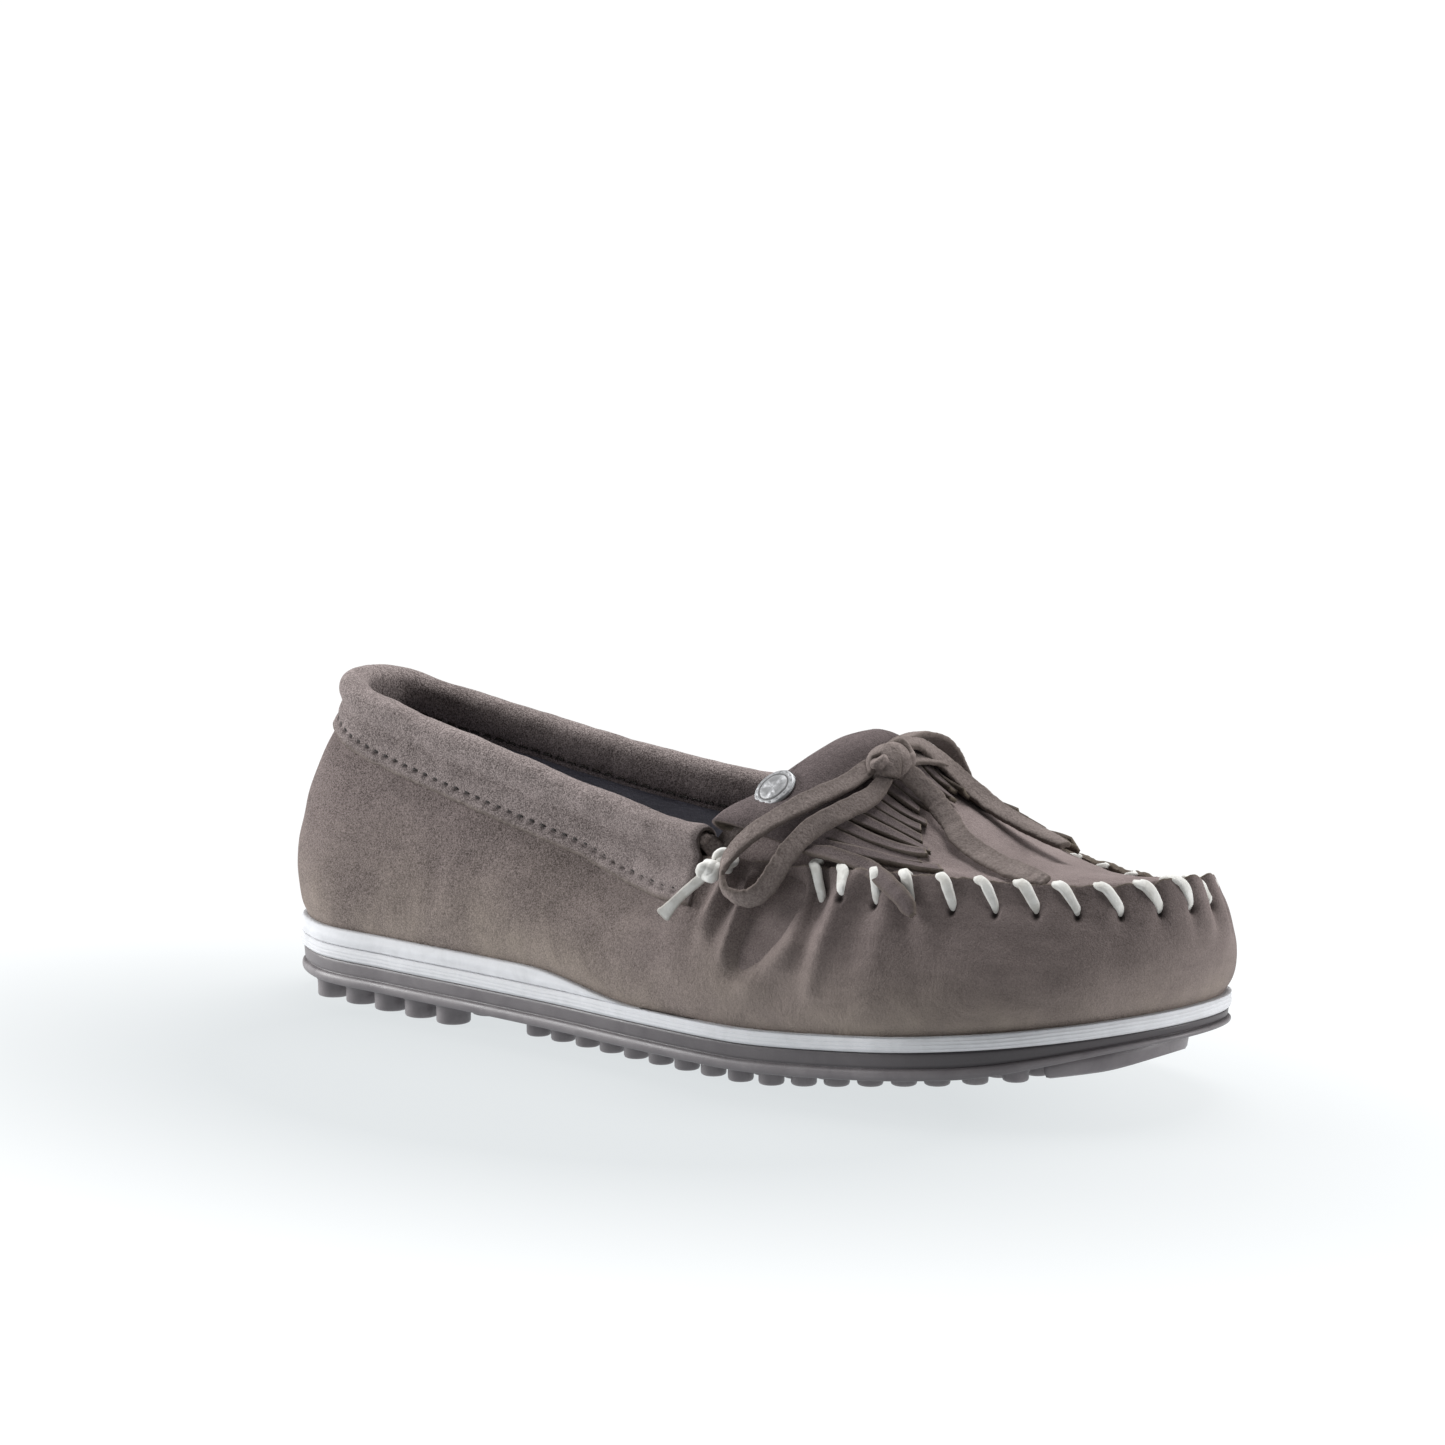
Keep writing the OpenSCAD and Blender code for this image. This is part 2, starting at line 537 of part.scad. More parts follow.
outsole();
midsole();
heel_wedge();
upper_wrap();
heel_counter();
quarter_lining();
insole_board();
footbed();
footbed_cover();
plug();
collar_band();
collar_thread();
toe_lacing();
lacing_knot_outer();
lacing_knot_inner();
kiltie();
button();
button_rivet();
lace_tunnel();
lace_lead_outer();
lace_lead_inner();
bow_knot();
bow_loop_outer();
bow_loop_inner();
bow_tail_outer();
bow_tail_inner();
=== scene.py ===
"""Looks of the suede moccasin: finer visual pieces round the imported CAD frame.

Lengths in the shape functions are millimetres from the back of the outsole; to_frame() turns
them into metres in the row frame.
"""
import math

import bmesh
import bpy
import numpy as np
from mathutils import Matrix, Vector, noise


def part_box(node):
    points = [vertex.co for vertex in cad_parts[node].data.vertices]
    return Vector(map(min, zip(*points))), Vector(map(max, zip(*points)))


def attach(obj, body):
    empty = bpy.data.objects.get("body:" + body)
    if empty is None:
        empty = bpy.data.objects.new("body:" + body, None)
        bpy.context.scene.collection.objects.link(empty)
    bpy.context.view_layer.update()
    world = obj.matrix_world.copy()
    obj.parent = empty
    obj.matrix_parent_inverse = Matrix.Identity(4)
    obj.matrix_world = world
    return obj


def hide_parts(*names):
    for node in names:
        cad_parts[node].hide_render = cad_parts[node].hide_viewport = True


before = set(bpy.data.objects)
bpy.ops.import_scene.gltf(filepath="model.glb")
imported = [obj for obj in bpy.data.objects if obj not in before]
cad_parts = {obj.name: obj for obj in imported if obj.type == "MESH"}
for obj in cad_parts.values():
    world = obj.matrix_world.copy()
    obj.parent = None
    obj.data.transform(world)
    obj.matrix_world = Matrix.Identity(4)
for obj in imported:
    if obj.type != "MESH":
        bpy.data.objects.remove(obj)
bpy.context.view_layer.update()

# ---------------------------------------------------------------- shape of the shoe
# Round the sole from the heel, lateral side first: outline x and y, then x, y and height of the
# upper's top edge, then how far the side bulges.
STATIONS = np.array([
    [0, 0, 12, 0, 71.4, 7], [4.5, -17, 14, -9, 71.3, 7],
    [19, -28, 23, -15.5, 69, 6], [46, -32, 48, -20, 64, 5],
    [75, -34.5, 76, -22.5, 58.5, 4.5], [104, -37.5, 106, -25, 53, 4],
    [132, -41.5, 134, -30, 49.5, 5], [158, -44, 158, -32.5, 49.5, 5.5],
    [184, -43, 182, -31.5, 50, 5.5], [208, -40.5, 204, -29, 50.5, 5],
    [228, -32.5, 222, -22.5, 50, 5.5], [243, -18.5, 239, -12.5, 49.8, 5.7],
    [251.5, 0, 249, 1, 50.4, 4.8], [250.5, 17.5, 249.2, 13, 49.4, 4.6],
    [241, 32, 238.5, 23.5, 45.4, 5], [222, 41, 219, 30, 45, 5],
    [196, 44, 196, 33, 47.3, 5],
    [168, 40.5, 170, 32.5, 50, 5], [140, 33.5, 142, 29.5, 50.5, 5],
    [112, 28.5, 112, 24.5, 52.5, 5], [84, 27.5, 84, 21.5, 56, 5],
    [52, 29.5, 52, 19, 61.5, 5], [24, 28, 25, 15.5, 66.5, 6],
    [5.5, 17.5, 14.3, 9.5, 70.3, 7]])
TURNS, TOE = 24, 12
THROAT_OUTER, THROAT_INNER = 6.38, -5.95
STUD, PLATE, STRIP, WEDGE, SPRING = 4.9, 6.3, 3.4, 4.2, 9.2
BALL, FOREPART = 160, 92
TIP_X, TIP_RUN, TIP_THINNING = 216, 36, 3.0
LEATHER, ROLL, LACE_W, LACE_T = 1.3, 3.7, 4.8, 1.4
UP = np.array([0.0, 0.0, 1.0])
HEEL = np.array([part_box("outsole")[0].x, 0.0001, 0.0])


def to_frame(p):
    return np.asarray(p, float)*0.001 + HEEL


def unit(v):
    return v/np.linalg.norm(v, axis=-1, keepdims=True)


def smooth(t):
    t = np.clip(t, 0, 1)
    return t*t*(3 - 2*t)


def bell(x, width):
    return np.exp(-(x/width)**2)


def hermite(a, b, ma, mb, t):
    """Cubic curve from a to b with the end slopes ma and mb."""
    return ((1 + 2*t)*(1 - t)**2*a + t*(1 - t)**2*ma
            + t*t*(3 - 2*t)*b + t*t*(t - 1)*mb)


def station(s):
    """Row of STATIONS at s, run smoothly through the listed ones round the shoe."""
    s = np.asarray(s, float)
    i = np.floor(s).astype(int)
    t = (s - i)[..., None]
    z, a, b, c = (STATIONS[(i + k) % TURNS] for k in (-1, 0, 1, 2))
    h0, h, h1 = (np.linalg.norm((q - p)[..., :2], axis=-1, keepdims=True)
                 for p, q in ((z, a), (a, b), (b, c)))
    ma = ((b - a)/h*h0 + (a - z)/h0*h)/(h0 + h)
    mb = ((c - b)/h1*h + (b - a)/h*h1)/(h + h1)
    return hermite(a, b, h*ma, h*mb, t)


def rise(x):
    return SPRING*np.maximum(0, (x - BALL)/FOREPART)**1.5


def plate_bottom(x):
    return STUD + rise(x) + TIP_THINNING*smooth((x - TIP_X)/TIP_RUN)


def tread(x):
    """Height of the studs' lower ends, which leave the ground in front of the ball."""
    return 1.25*SPRING*np.maximum(0, (x - BALL)/FOREPART)**1.15


def plate_top(x):
    return STUD + rise(x) + PLATE


def strip_top(x):
    return plate_top(x) + STRIP


def sole_top(x):
    return strip_top(x) + WEDGE*(1 - smooth((x - 92)/40))


def outward(s):
    """Level unit vector away from the shoe at station s."""
    t = unit((station(s + 0.05) - station(s - 0.05))[..., :2])
    return np.stack([t[..., 1], -t[..., 0], 0*t[..., 0]], -1)


def wall(s, v):
    """The upper's side: station s round the shoe, v from 0 at the sole to 1 at the top edge."""
    s, v = np.broadcast_arrays(np.asarray(s, float), np.asarray(v, float))
    p, n = station(s), outward(s)
    foot = np.stack([p[..., 0], p[..., 1], sole_top(p[..., 0])], -1) - 1.2*n
    top, k, v = p[..., 2:5], p[..., 5:6], v[..., None]
    h = (top[..., 2] - foot[..., 2])[..., None]*UP
    return ((1 - v)**3*foot + 3*(1 - v)**2*v*(foot + k*n + 0.35*h)
            + 3*(1 - v)*v*v*(top + 1.1*k*n - 0.3*h) + v**3*top)


def wall_normal(s, v, e=0.02):
    return unit(np.cross(wall(s + e, v) - wall(s - e, v), wall(s, v + e) - wall(s, v - e)))


def skin(s, v, d):
    """A point d outside the wall."""
    s, v, d = np.broadcast_arrays(np.asarray(s, float), v, d)
    return wall(s, v) + d[..., None]*wall_normal(s, v)


def wall_height(s):
    return wall(s, 1)[..., 2] - wall(s, 0)[..., 2]


CROWN = np.array([[6, 20.5], [6.9, 23.2], [7.1, 24.8], [7.3, 22.8], [7.6, 17.5], [7.9, 13.5],
                  [8.2, 10.3], [8.6, 6.5], [9, 4.5], [9.5, 3.6], [10.5, 3], [12, 1.5]])


def crown(s):
    """The plug's height over its seam, rounded off between the listed stations."""
    return sum(np.interp(s + k, CROWN[:, 0], CROWN[:, 1])*w
               for k, w in ((-0.11, 0.2), (-0.04, 0.3), (0.04, 0.3), (0.11, 0.2)))


def plug_face(p, s):
    """The toe plug: p from -1 at its lateral seam to 1, station s of the lateral seam."""
    p, s = np.broadcast_arrays(np.asarray(p, float), np.asarray(s, float))
    a, b = skin(s, 1.0, -1.7), skin(TURNS - s, 1.0, -1.7)
    lift = crown(s)*(1 - np.abs(p)**1.9)
    return a + (b - a)*((p + 1)/2)[..., None] + lift[..., None]*UP


def plug_normal(p, s, e=0.02):
    return unit(np.cross(plug_face(p, s + e) - plug_face(p, s - e),
                         plug_face(p + e, s) - plug_face(p - e, s)))


def over_plug(p, s, d):
    """A point d above the plug."""
    p, s, d = np.broadcast_arrays(np.asarray(p, float), s, d)
    return plug_face(p, s) + d[..., None]*plug_normal(p, s)


def throat(p):
    """Station of the plug's back edge across the instep."""
    return 7.05 - 0.7*np.abs(p)**1.6


def fringe_end(p):
    """Station where the kiltie's fringe ends."""
    return 7.88 + np.where(np.asarray(p) < 0, 1.25, 0.7)*np.abs(p)**1.6


# ---------------------------------------------------------------- noise and mesh helpers
def cloud(p, size, seed=0.0, octaves=1):
    """Smooth noise, about -1 to 1, at points p in mm, with features of the given size."""
    q = np.asarray(p, float)
    out = np.zeros(q.shape[:-1]).ravel()
    for k in range(octaves):
        flat = (q/size*2**k + seed*17.3 + k*5.1).reshape(-1, 3)
        out += np.array([noise.noise(Vector(c)) for c in flat.tolist()])*0.5**k
    return out.reshape(q.shape[:-1])*1.6


def make(name, points, faces, material, node, attributes=None):
    """A piece from points in mm and faces; attributes are per-point floats."""
    mesh = bpy.data.meshes.new(name)
    pts = to_frame(np.asarray(points, float).reshape(-1, 3))
    mesh.from_pydata(pts.tolist(), [], [list(f) for f in faces])
    for key, values in (attributes or {}).items():
        layer = mesh.attributes.new(key, "FLOAT", "POINT")
        layer.data.foreach_set("value", np.asarray(values, np.float32).ravel())
    bm = bmesh.new()
    bm.from_mesh(mesh)
    bmesh.ops.remove_doubles(bm, verts=bm.verts, dist=2e-6)
    bmesh.ops.dissolve_degenerate(bm, edges=bm.edges, dist=1e-7)
    bmesh.ops.recalc_face_normals(bm, faces=bm.faces)
    bm.to_mesh(mesh)
    bm.free()
    mesh.polygons.foreach_set("use_smooth", [True]*len(mesh.polygons))
    obj = bpy.data.objects.new(name, mesh)
    bpy.context.scene.collection.objects.link(obj)
    mesh.materials.append(material)
    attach(obj, "root")
    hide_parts(node)
    return obj


def grid_faces(n, m, loop_n=False, loop_m=False):
    i = np.arange(n if loop_n else n - 1)[:, None]
    j = np.arange(m if loop_m else m - 1)[None, :]
    i2, j2 = (i + 1) % n, (j + 1) % m
    q = np.stack(np.broadcast_arrays(i*m + j, i2*m + j, i2*m + j2, i*m + j2), -1)
    return q.reshape(-1, 4).tolist()


def strip_cap(ring, flip=False):
    """Faces that close a ring of an even number of points, strip by strip."""
    n = len(ring)
    faces = []
    for j in range(n//2):
        f = [ring[(n - j) % n], ring[j], ring[j + 1], ring[(n - j - 1) % n]]
        f = [v for k, v in enumerate(f) if v != f[k - 1]]
        if len(set(f)) > 2:
            faces.append(f[::-1] if flip else f)
    return faces


def stack(rings):
    """Points and faces of a closed solid from rings (rows) of points."""
    rings = np.asarray(rings, float)
    n, m = rings.shape[:2]
    faces = grid_faces(n, m, loop_m=True)
    faces += strip_cap(list(range(m))) + strip_cap([(n - 1)*m + j for j in range(m)], True)
    return rings.reshape(-1, 3), faces


def slab(outer, inner, present=None):
    """Points and faces of a closed sheet between two grids, with only its present cells."""
    n, m = outer.shape[:2]
    on = np.ones((n - 1, m - 1), bool) if present is None else present
    there = np.pad(on, 1)
    faces = []
    off = n*m
    for i in range(n - 1):
        for j in range(m - 1):
            if not on[i, j]:
                continue
            a, b, c, d = i*m + j, (i + 1)*m + j, (i + 1)*m + j + 1, i*m + j + 1
            faces += [[a, b, c, d], [d + off, c + off, b + off, a + off]]
            if not there[i, j + 1]:
                faces.append([a, d, d + off, a + off])
            if not there[i + 2, j + 1]:
                faces.append([c, b, b + off, c + off])
            if not there[i + 1, j]:
                faces.append([b, a, a + off, b + off])
            if not there[i + 1, j + 2]:
                faces.append([d, c, c + off, d + off])
    pts = np.concatenate([outer.reshape(-1, 3), inner.reshape(-1, 3)])
    used = sorted({v for f in faces for v in f})
    index = {v: k for k, v in enumerate(used)}
    return pts[used], [[index[v] for v in f] for f in faces], used


def route(points, count):
    """Smooth curve through the points, at count + 1 evenly spread parameters."""
    r = np.asarray(points, float)
    s = np.linspace(0, len(r) - 1, count + 1)
    i = np.minimum(s.astype(int), len(r) - 2)
    a, b, c, d = r[np.maximum(i - 1, 0)], r[i], r[i + 1], r[np.minimum(i + 2, len(r) - 1)]
    return hermite(b, c, (c - a)/2, (d - b)/2, (s - i)[:, None])


def along(p):
    return unit(np.gradient(np.asarray(p, float), axis=0))


def tube(centre, radius, sides):
    """Points, faces and shade of a round tube with rounded ends."""
    c = np.asarray(centre, float)
    d = along(c)
    u = unit(np.cross(d, np.broadcast_to([0.13, 0.21, 1.0], c.shape)))
    w = np.cross(d, u)
    a = np.linspace(0, 2*math.pi, sides, endpoint=False)
    rings = [c[i] + radius*(np.cos(a)[:, None]*u[i] + np.sin(a)[:, None]*w[i])
             for i in range(len(c))]
    ends = ((0.3, 0.85), (0.75, 0.55))
    head = [c[0] + f*(rings[0] - c[0]) - d[0]*radius*g for f, g in ends]
    tail = [c[-1] + f*(rings[-1] - c[-1]) + d[-1]*radius*g for f, g in ends[::-1]]
    pts, faces = stack(head + rings + tail)
    return pts, faces, np.zeros(len(pts))


def rounded(a, half_w, half_t, corner_x, corner_y):
    """Outline of a flat strip's section at the angles a."""
    return (np.sign(np.cos(a))*np.abs(np.cos(a))**corner_x*half_w,
            np.sign(np.sin(a))*np.abs(np.sin(a))**corner_y*half_t)


def ribbon(centre, face, w, t, curl=0.0, seed=1.0, rough=0.10, n_side=24):
    """Points, faces and edge of a flat leather strip; face is the way its flat side looks."""
    c = np.asarray(centre, float)
    n = len(c)
    w, t, curl = (np.broadcast_to(np.asarray(q, float), (n,)) for q in (w, t, curl))
    d = along(c)
    across = unit(np.cross(d, np.asarray(face, float)))
    up = np.cross(across, d)
    x, y = rounded(np.linspace(0, 2*math.pi, n_side, endpoint=False), 1, 1, 0.42, 0.62)
    rings = []
    for i in range(n):
        wide = 1 + rough*noise.noise(Vector((seed*9.1, i*0.33, 1.7)))
        thick = 1 + 0.25*noise.noise(Vector((seed*3.3, i*0.21, 5.0)))
        px = x*w[i]/2*wide
        py = y*t[i]/2*thick + curl[i]*(x*x - 0.4)
        rings.append(c[i] + px[:, None]*across[i] + py[:, None]*up[i])
    caps = []
    for k, sign in ((0, -1), (-1, 1)):
        mid = rings[k].mean(0)
        caps.append([mid + (rings[k] - mid)*f + sign*d[k]*t[k]*g
                     for f, g in ((0.93, 0.32), (0.72, 0.5))])
    rings = np.array(caps[0][::-1] + rings + caps[1])
    edge = np.tile(np.abs(x)**3, (n + 4, 1))
    edge[:2], edge[-2:] = 1, 1
    pts, faces = stack(rings + 0.07*cloud(rings, 0.8, seed)[..., None]*up.mean(0))
    return pts, faces, edge.ravel()


def join(parts):
    """One list of points and faces from several; per-point arrays are joined too."""
    faces, start = [], 0
    for points, part_faces, *_ in parts:
        faces += [[v + start for v in f] for f in part_faces]
        start += len(points)
    columns = list(zip(*parts))
    return (np.concatenate(columns[0]), faces, *(np.concatenate(q) for q in columns[2:]))


# ---------------------------------------------------------------- materials
def srgb(r, g, b):
    def lin(c):
        c /= 255
        return c/12.92 if c <= 0.04045 else ((c + 0.055)/1.055)**2.4
    return (lin(r), lin(g), lin(b), 1.0)


class Mat:
    """Small helper that builds a node material."""

    def __init__(self, name, **sockets):
        self.mat = bpy.data.materials.new(name)
        self.mat.use_nodes = True
        self.tree = self.mat.node_tree
        self.bsdf = self.tree.nodes["Principled BSDF"]
        for key, value in sockets.items():
            self.bsdf.inputs[key.replace("_", " ")].default_value = value
        self.coords = self.tree.nodes.new("ShaderNodeTexCoord").outputs["Object"]

    def node(self, kind, out=0, **inputs):
        n = self.tree.nodes.new(kind)
        for key, value in inputs.items():
            if hasattr(n, key) and key not in n.inputs:
                setattr(n, key, value)
                continue
            self.feed(n.inputs[int(key[1:]) if key[0] == "i" and key[1:].isdigit() else key],
                      value)
        return n.outputs[out]

    def feed(self, socket, value):
        if isinstance(value, bpy.types.NodeSocket):
            self.tree.links.new(value, socket)
        else:
            socket.default_value = value

    def noise(self, size, detail=2.0, rough=0.5, warp=0.0, vector=None):
        """Noise with features of the given size in metres."""
        return self.node("ShaderNodeTexNoise", Vector=vector or self.coords, Scale=1/size,
                         Detail=detail, Roughness=rough, Distortion=warp)

    def maths(self, op, a, b=0.0, c=0.0):
        return self.node("ShaderNodeMath", operation=op, i0=a, i1=b, i2=c)

    def remap(self, value, a, b, c, d):
        n = self.tree.nodes.new("ShaderNodeMapRange")
        for i, x in enumerate((value, a, b, c, d)):
            self.feed(n.inputs[i], x)
        return n.outputs[0]

    def mix(self, fac, a, b):
        n = self.tree.nodes.new("ShaderNodeMix")
        n.data_type = "RGBA"
        self.feed(n.inputs[0], fac)
        self.feed(n.inputs[6], a)
        self.feed(n.inputs[7], b)
        return n.outputs[2]

    def attribute(self, name):
        n = self.tree.nodes.new("ShaderNodeAttribute")
        n.attribute_name = name
        return n.outputs["Fac"]

    def bump(self, height, distance, strength=1.0, normal=None):
        n = self.tree.nodes.new("ShaderNodeBump")
        self.feed(n.inputs["Strength"], strength)
        self.feed(n.inputs["Distance"], distance)
        self.feed(n.inputs["Height"], height)
        if normal is not None:
            self.feed(n.inputs["Normal"], normal)
        return n.outputs[0]

    def done(self, colour=None, rough=None, normal=None, metal=None):
        for key, value in (("Base Color", colour), ("Roughness", rough), ("Normal", normal),
                           ("Metallic", metal)):
            if value is not None:
                self.feed(self.bsdf.inputs[key], value)
        return self.mat


def suede(name, low, high, edge, tan=None, nap=0.00034, sheen=0.30):
    """Brushed split suede: speckled nap, soft mottling, paler rubbed places and painted shade in
    creases.
    """
    m = Mat(name, Sheen_Weight=sheen, Sheen_Roughness=0.45,
            Sheen_Tint=(high[0]*1.2, high[1]*1.2, high[2]*1.2, 1), Specular_IOR_Level=0.15)
    fine = m.noise(nap, 2, 0.6)
    grain = m.noise(nap*2.6, 3, 0.7, 0.4)
    mottle = m.noise(0.011, 4, 0.55, 0.8)
    patch = m.noise(0.038, 2, 0.5, 0.5)
    stretched = m.node("ShaderNodeMapping", Vector=m.coords, Scale=(0.35, 0.35, 1.5),
                       Rotation=(0.2, 0.5, 0.3))
    brushed = m.noise(0.004, 3, 0.6, 0.3, vector=stretched)
    place = m.node("ShaderNodeSeparateXYZ", Vector=m.coords)
    speckle = m.maths("MULTIPLY_ADD", grain, 0.22, m.maths("MULTIPLY_ADD", fine, 1.0, -0.61))
    f = m.maths("MULTIPLY", speckle, m.remap(place, -0.03, 0.05, 3.4, 0.9))
    f = m.maths("MULTIPLY_ADD", mottle, 0.40, f)
    f = m.maths("MULTIPLY_ADD", patch, 0.75, f)
    f = m.maths("MULTIPLY_ADD", brushed, 0.40, f)
    f = m.maths("SUBTRACT", f, 0.275)
    f.node.use_clamp = True
    colour = m.mix(f, low, high)
    if tan is not None:
        amount = m.maths("MULTIPLY", m.attribute("warm"), m.remap(mottle, 0.3, 0.7, 0.55, 1.0))
        amount.node.use_clamp = True
        colour = m.mix(amount, colour, m.mix(f, tan, [min(1, c*1.35) for c in tan[:3]] + [1]))
    colour = m.mix(m.attribute("rim"), colour, m.mix(f, edge, [c*1.6 for c in edge[:3]] + [1]))
    shade = m.maths("MULTIPLY", m.attribute("shade"), m.remap(grain, 0.3, 0.7, 1.0, 0.85))
    colour = m.mix(shade, colour, (low[0]*0.22, low[1]*0.21, low[2]*0.22, 1))
    rough = m.remap(fine, 0.2, 0.8, 0.98, 0.82)
    n = m.bump(mottle, 0.0010, 0.6)
    n = m.bump(grain, 0.00030, 0.7, n)
    n = m.bump(fine, 0.00016, 0.8, n)
    return m.done(colour, rough, n)


mat_wrap = suede("suede_wrap", srgb(70, 62, 60), srgb(138, 126, 124), edge=srgb(96, 88, 80),
                 tan=srgb(136, 126, 117))
mat_plug = suede("suede_plug", srgb(86, 76, 74), srgb(156, 143, 141), edge=srgb(96, 88, 80))
mat_collar = suede("suede_collar", srgb(82, 74, 72), srgb(158, 147, 145), edge=srgb(92, 84, 78))
mat_kiltie = suede("suede_kiltie", srgb(62, 55, 55), srgb(118, 107, 107), edge=srgb(98, 90, 80))
mat_lace = suede("suede_lace", srgb(86, 77, 74), srgb(152, 141, 137), edge=srgb(84, 76, 71),
                 nap=0.0005, sheen=0.22)


def cloth(name, low, high, pitch, depth):
    """Knitted lining cloth with a small regular rib and worn, paler places."""
    m = Mat(name, Sheen_Weight=0.2, Sheen_Roughness=0.5, Specular_IOR_Level=0.2)
    wave = m.node("ShaderNodeTexVoronoi", Vector=m.coords, Scale=1/pitch, Randomness=0.35)
    wear = m.noise(0.012, 3)
    fuzz = m.noise(0.0003, 2)
    f = m.maths("MULTIPLY_ADD", wave, -0.7, m.maths("MULTIPLY_ADD", wear, 0.8, fuzz))
    f = m.remap(f, 0.2, 1.4, 0.0, 1.0)
    colour = m.mix(f, low, high)
    n = m.bump(wave, depth, 0.8)
    n = m.bump(fuzz, 0.00012, 0.6, n)
    return m.done(colour, m.remap(fuzz, 0.2, 0.8, 0.95, 0.8), n)


mat_lining = cloth("lining_cloth", srgb(122, 122, 131), srgb(164, 164, 173), 0.0007, 0.00012)
mat_cover = cloth("footbed_cloth", srgb(100, 99, 107), srgb(138, 137, 145), 0.0009, 0.0002)


def rubber(name, low, high, rough):
    """Moulded rubber: fine spark-eroded grain, dusty patches and painted shade in the recesses."""
    m = Mat(name, Specular_IOR_Level=0.45)
    grain = m.noise(0.00035, 2, 0.6)
    dust = m.noise(0.009, 4, 0.6, 0.5)
    colour = m.mix(m.remap(dust, 0.3, 0.75, 0, 1), low, high)
    colour = m.mix(m.maths("MULTIPLY", m.attribute("shade"), 0.9), colour,
                   (low[0]*0.30, low[1]*0.29, low[2]*0.30, 1))
    n = m.bump(dust, 0.0002, 0.4)
    n = m.bump(grain, 0.00006, 0.7, n)
    return m.done(colour, m.remap(dust, 0.3, 0.7, rough - 0.07, rough + 0.1), n)


mat_outsole = rubber("outsole_rubber", srgb(112, 107, 110), srgb(136, 131, 133), 0.42)


def foam(name, low, high):
    """White midsole foam with the fine lines that the moulding and buffing leave along it."""
    m = Mat(name, Specular_IOR_Level=0.3)
    level = m.attribute("level")
    wobble = m.noise(0.02, 2)
    lines = m.maths("SINE", m.maths("MULTIPLY_ADD", level, 36.0, m.maths("MULTIPLY", wobble, 5.0)))
    dirt = m.noise(0.006, 4, 0.65, 0.6)
    pores = m.noise(0.0005, 2, 0.6)
    f = m.maths("MULTIPLY_ADD", lines, 0.10, m.remap(dirt, 0.25, 0.75, 0.15, 0.9))
    f.node.use_clamp = True
    colour = m.mix(f, low, high)
    colour = m.mix(m.attribute("shade"), colour, (low[0]*0.35, low[1]*0.33, low[2]*0.32, 1))
    n = m.bump(lines, 0.00010, 0.5)
    n = m.bump(pores, 0.00005, 0.6, n)
    return m.done(colour, m.remap(dirt, 0.3, 0.7, 0.5, 0.68), n)


mat_foam = foam("midsole_foam", srgb(200, 201, 204), srgb(226, 227, 231))


def lacing_leather(name):
    """Off-white lacing: smooth waxed leather, faint grain, grubby patches and painted shade in
    knots and edges.
    """
    m = Mat(name, Specular_IOR_Level=0.35, Sheen_Weight=0.15)
    grain = m.noise(0.0005, 3, 0.6)
    grub = m.noise(0.003, 3, 0.6, 0.4)
    colour = m.mix(m.remap(grub, 0.3, 0.7, 0, 1), srgb(196, 194, 188), srgb(228, 228, 225))
    colour = m.mix(m.attribute("shade"), colour, srgb(126, 118, 108))
    n = m.bump(grub, 0.0004, 0.5)
    n = m.bump(grain, 0.00012, 0.7, n)
    return m.done(colour, m.remap(grub, 0.3, 0.7, 0.5, 0.72), n)


mat_white = lacing_leather("white_lacing")


def thread(name, low, high):
    """Twisted sewing thread."""
    m = Mat(name, Specular_IOR_Level=0.35)
    twist = m.node("ShaderNodeTexWave", Vector=m.coords, Scale=900.0, Distortion=1.2,
                   bands_direction="DIAGONAL")
    fuzz = m.noise(0.0003, 2)
    colour = m.mix(m.maths("MULTIPLY", twist, fuzz), low, high)
    return m.done(colour, m.remap(fuzz, 0.2, 0.8, 0.6, 0.85), m.bump(twist, 0.00015, 0.8))


mat_thread = thread("collar_thread", srgb(38, 34, 33), srgb(70, 63, 60))


def metal(name):
    """Aged pewter: fine scratches, dull patches and dark in the hollows."""
    m = Mat(name, Specular_IOR_Level=0.5)
    stretched = m.node("ShaderNodeMapping", Vector=m.coords, Scale=(1.0, 5.0, 5.0))
    scratch = m.noise(0.0006, 3, 0.6, vector=stretched)
    patina = m.noise(0.0022, 3, 0.6)
    hollow = m.attribute("shade")
    colour = m.mix(m.remap(patina, 0.3, 0.7, 0, 1), srgb(150, 151, 153), srgb(186, 187, 189))
    colour = m.mix(hollow, colour, srgb(58, 56, 56))
    n = m.bump(scratch, 0.00006, 0.5)
    return m.done(colour, m.remap(scratch, 0.3, 0.7, 0.48, 0.66), n,
                  m.remap(hollow, 0.0, 1.0, 0.9, 0.35))


mat_metal = metal("pewter")


def fibre(name, low, high):
    """Pressed fibre board: short flecks in a dull buff ground."""
    m = Mat(name, Specular_IOR_Level=0.2)
    flecks = m.noise(0.0008, 3, 0.7, 1.2)
    tone = m.noise(0.01, 2)
    colour = m.mix(m.maths("MULTIPLY_ADD", flecks, 0.7, m.maths("MULTIPLY", tone, 0.3)), low, high)
    return m.done(colour, m.remap(flecks, 0.3, 0.7, 0.8, 0.95), m.bump(flecks, 0.0001, 0.7))


mat_board = fibre("fibre_board", srgb(150, 126, 98), srgb(196, 172, 140))

# ---------------------------------------------------------------- the sole
RING = np.linspace(0, TURNS, 360, endpoint=False)
EDGE, EDGE_N = station(RING)[:, :2], outward(RING)


def ring(level, grow, lift):
    """The sole's outline at a height that depends on x, moved outwards by grow."""
    z = level(EDGE[:, 0]) + lift
    return np.column_stack([EDGE, z]) + grow*EDGE_N


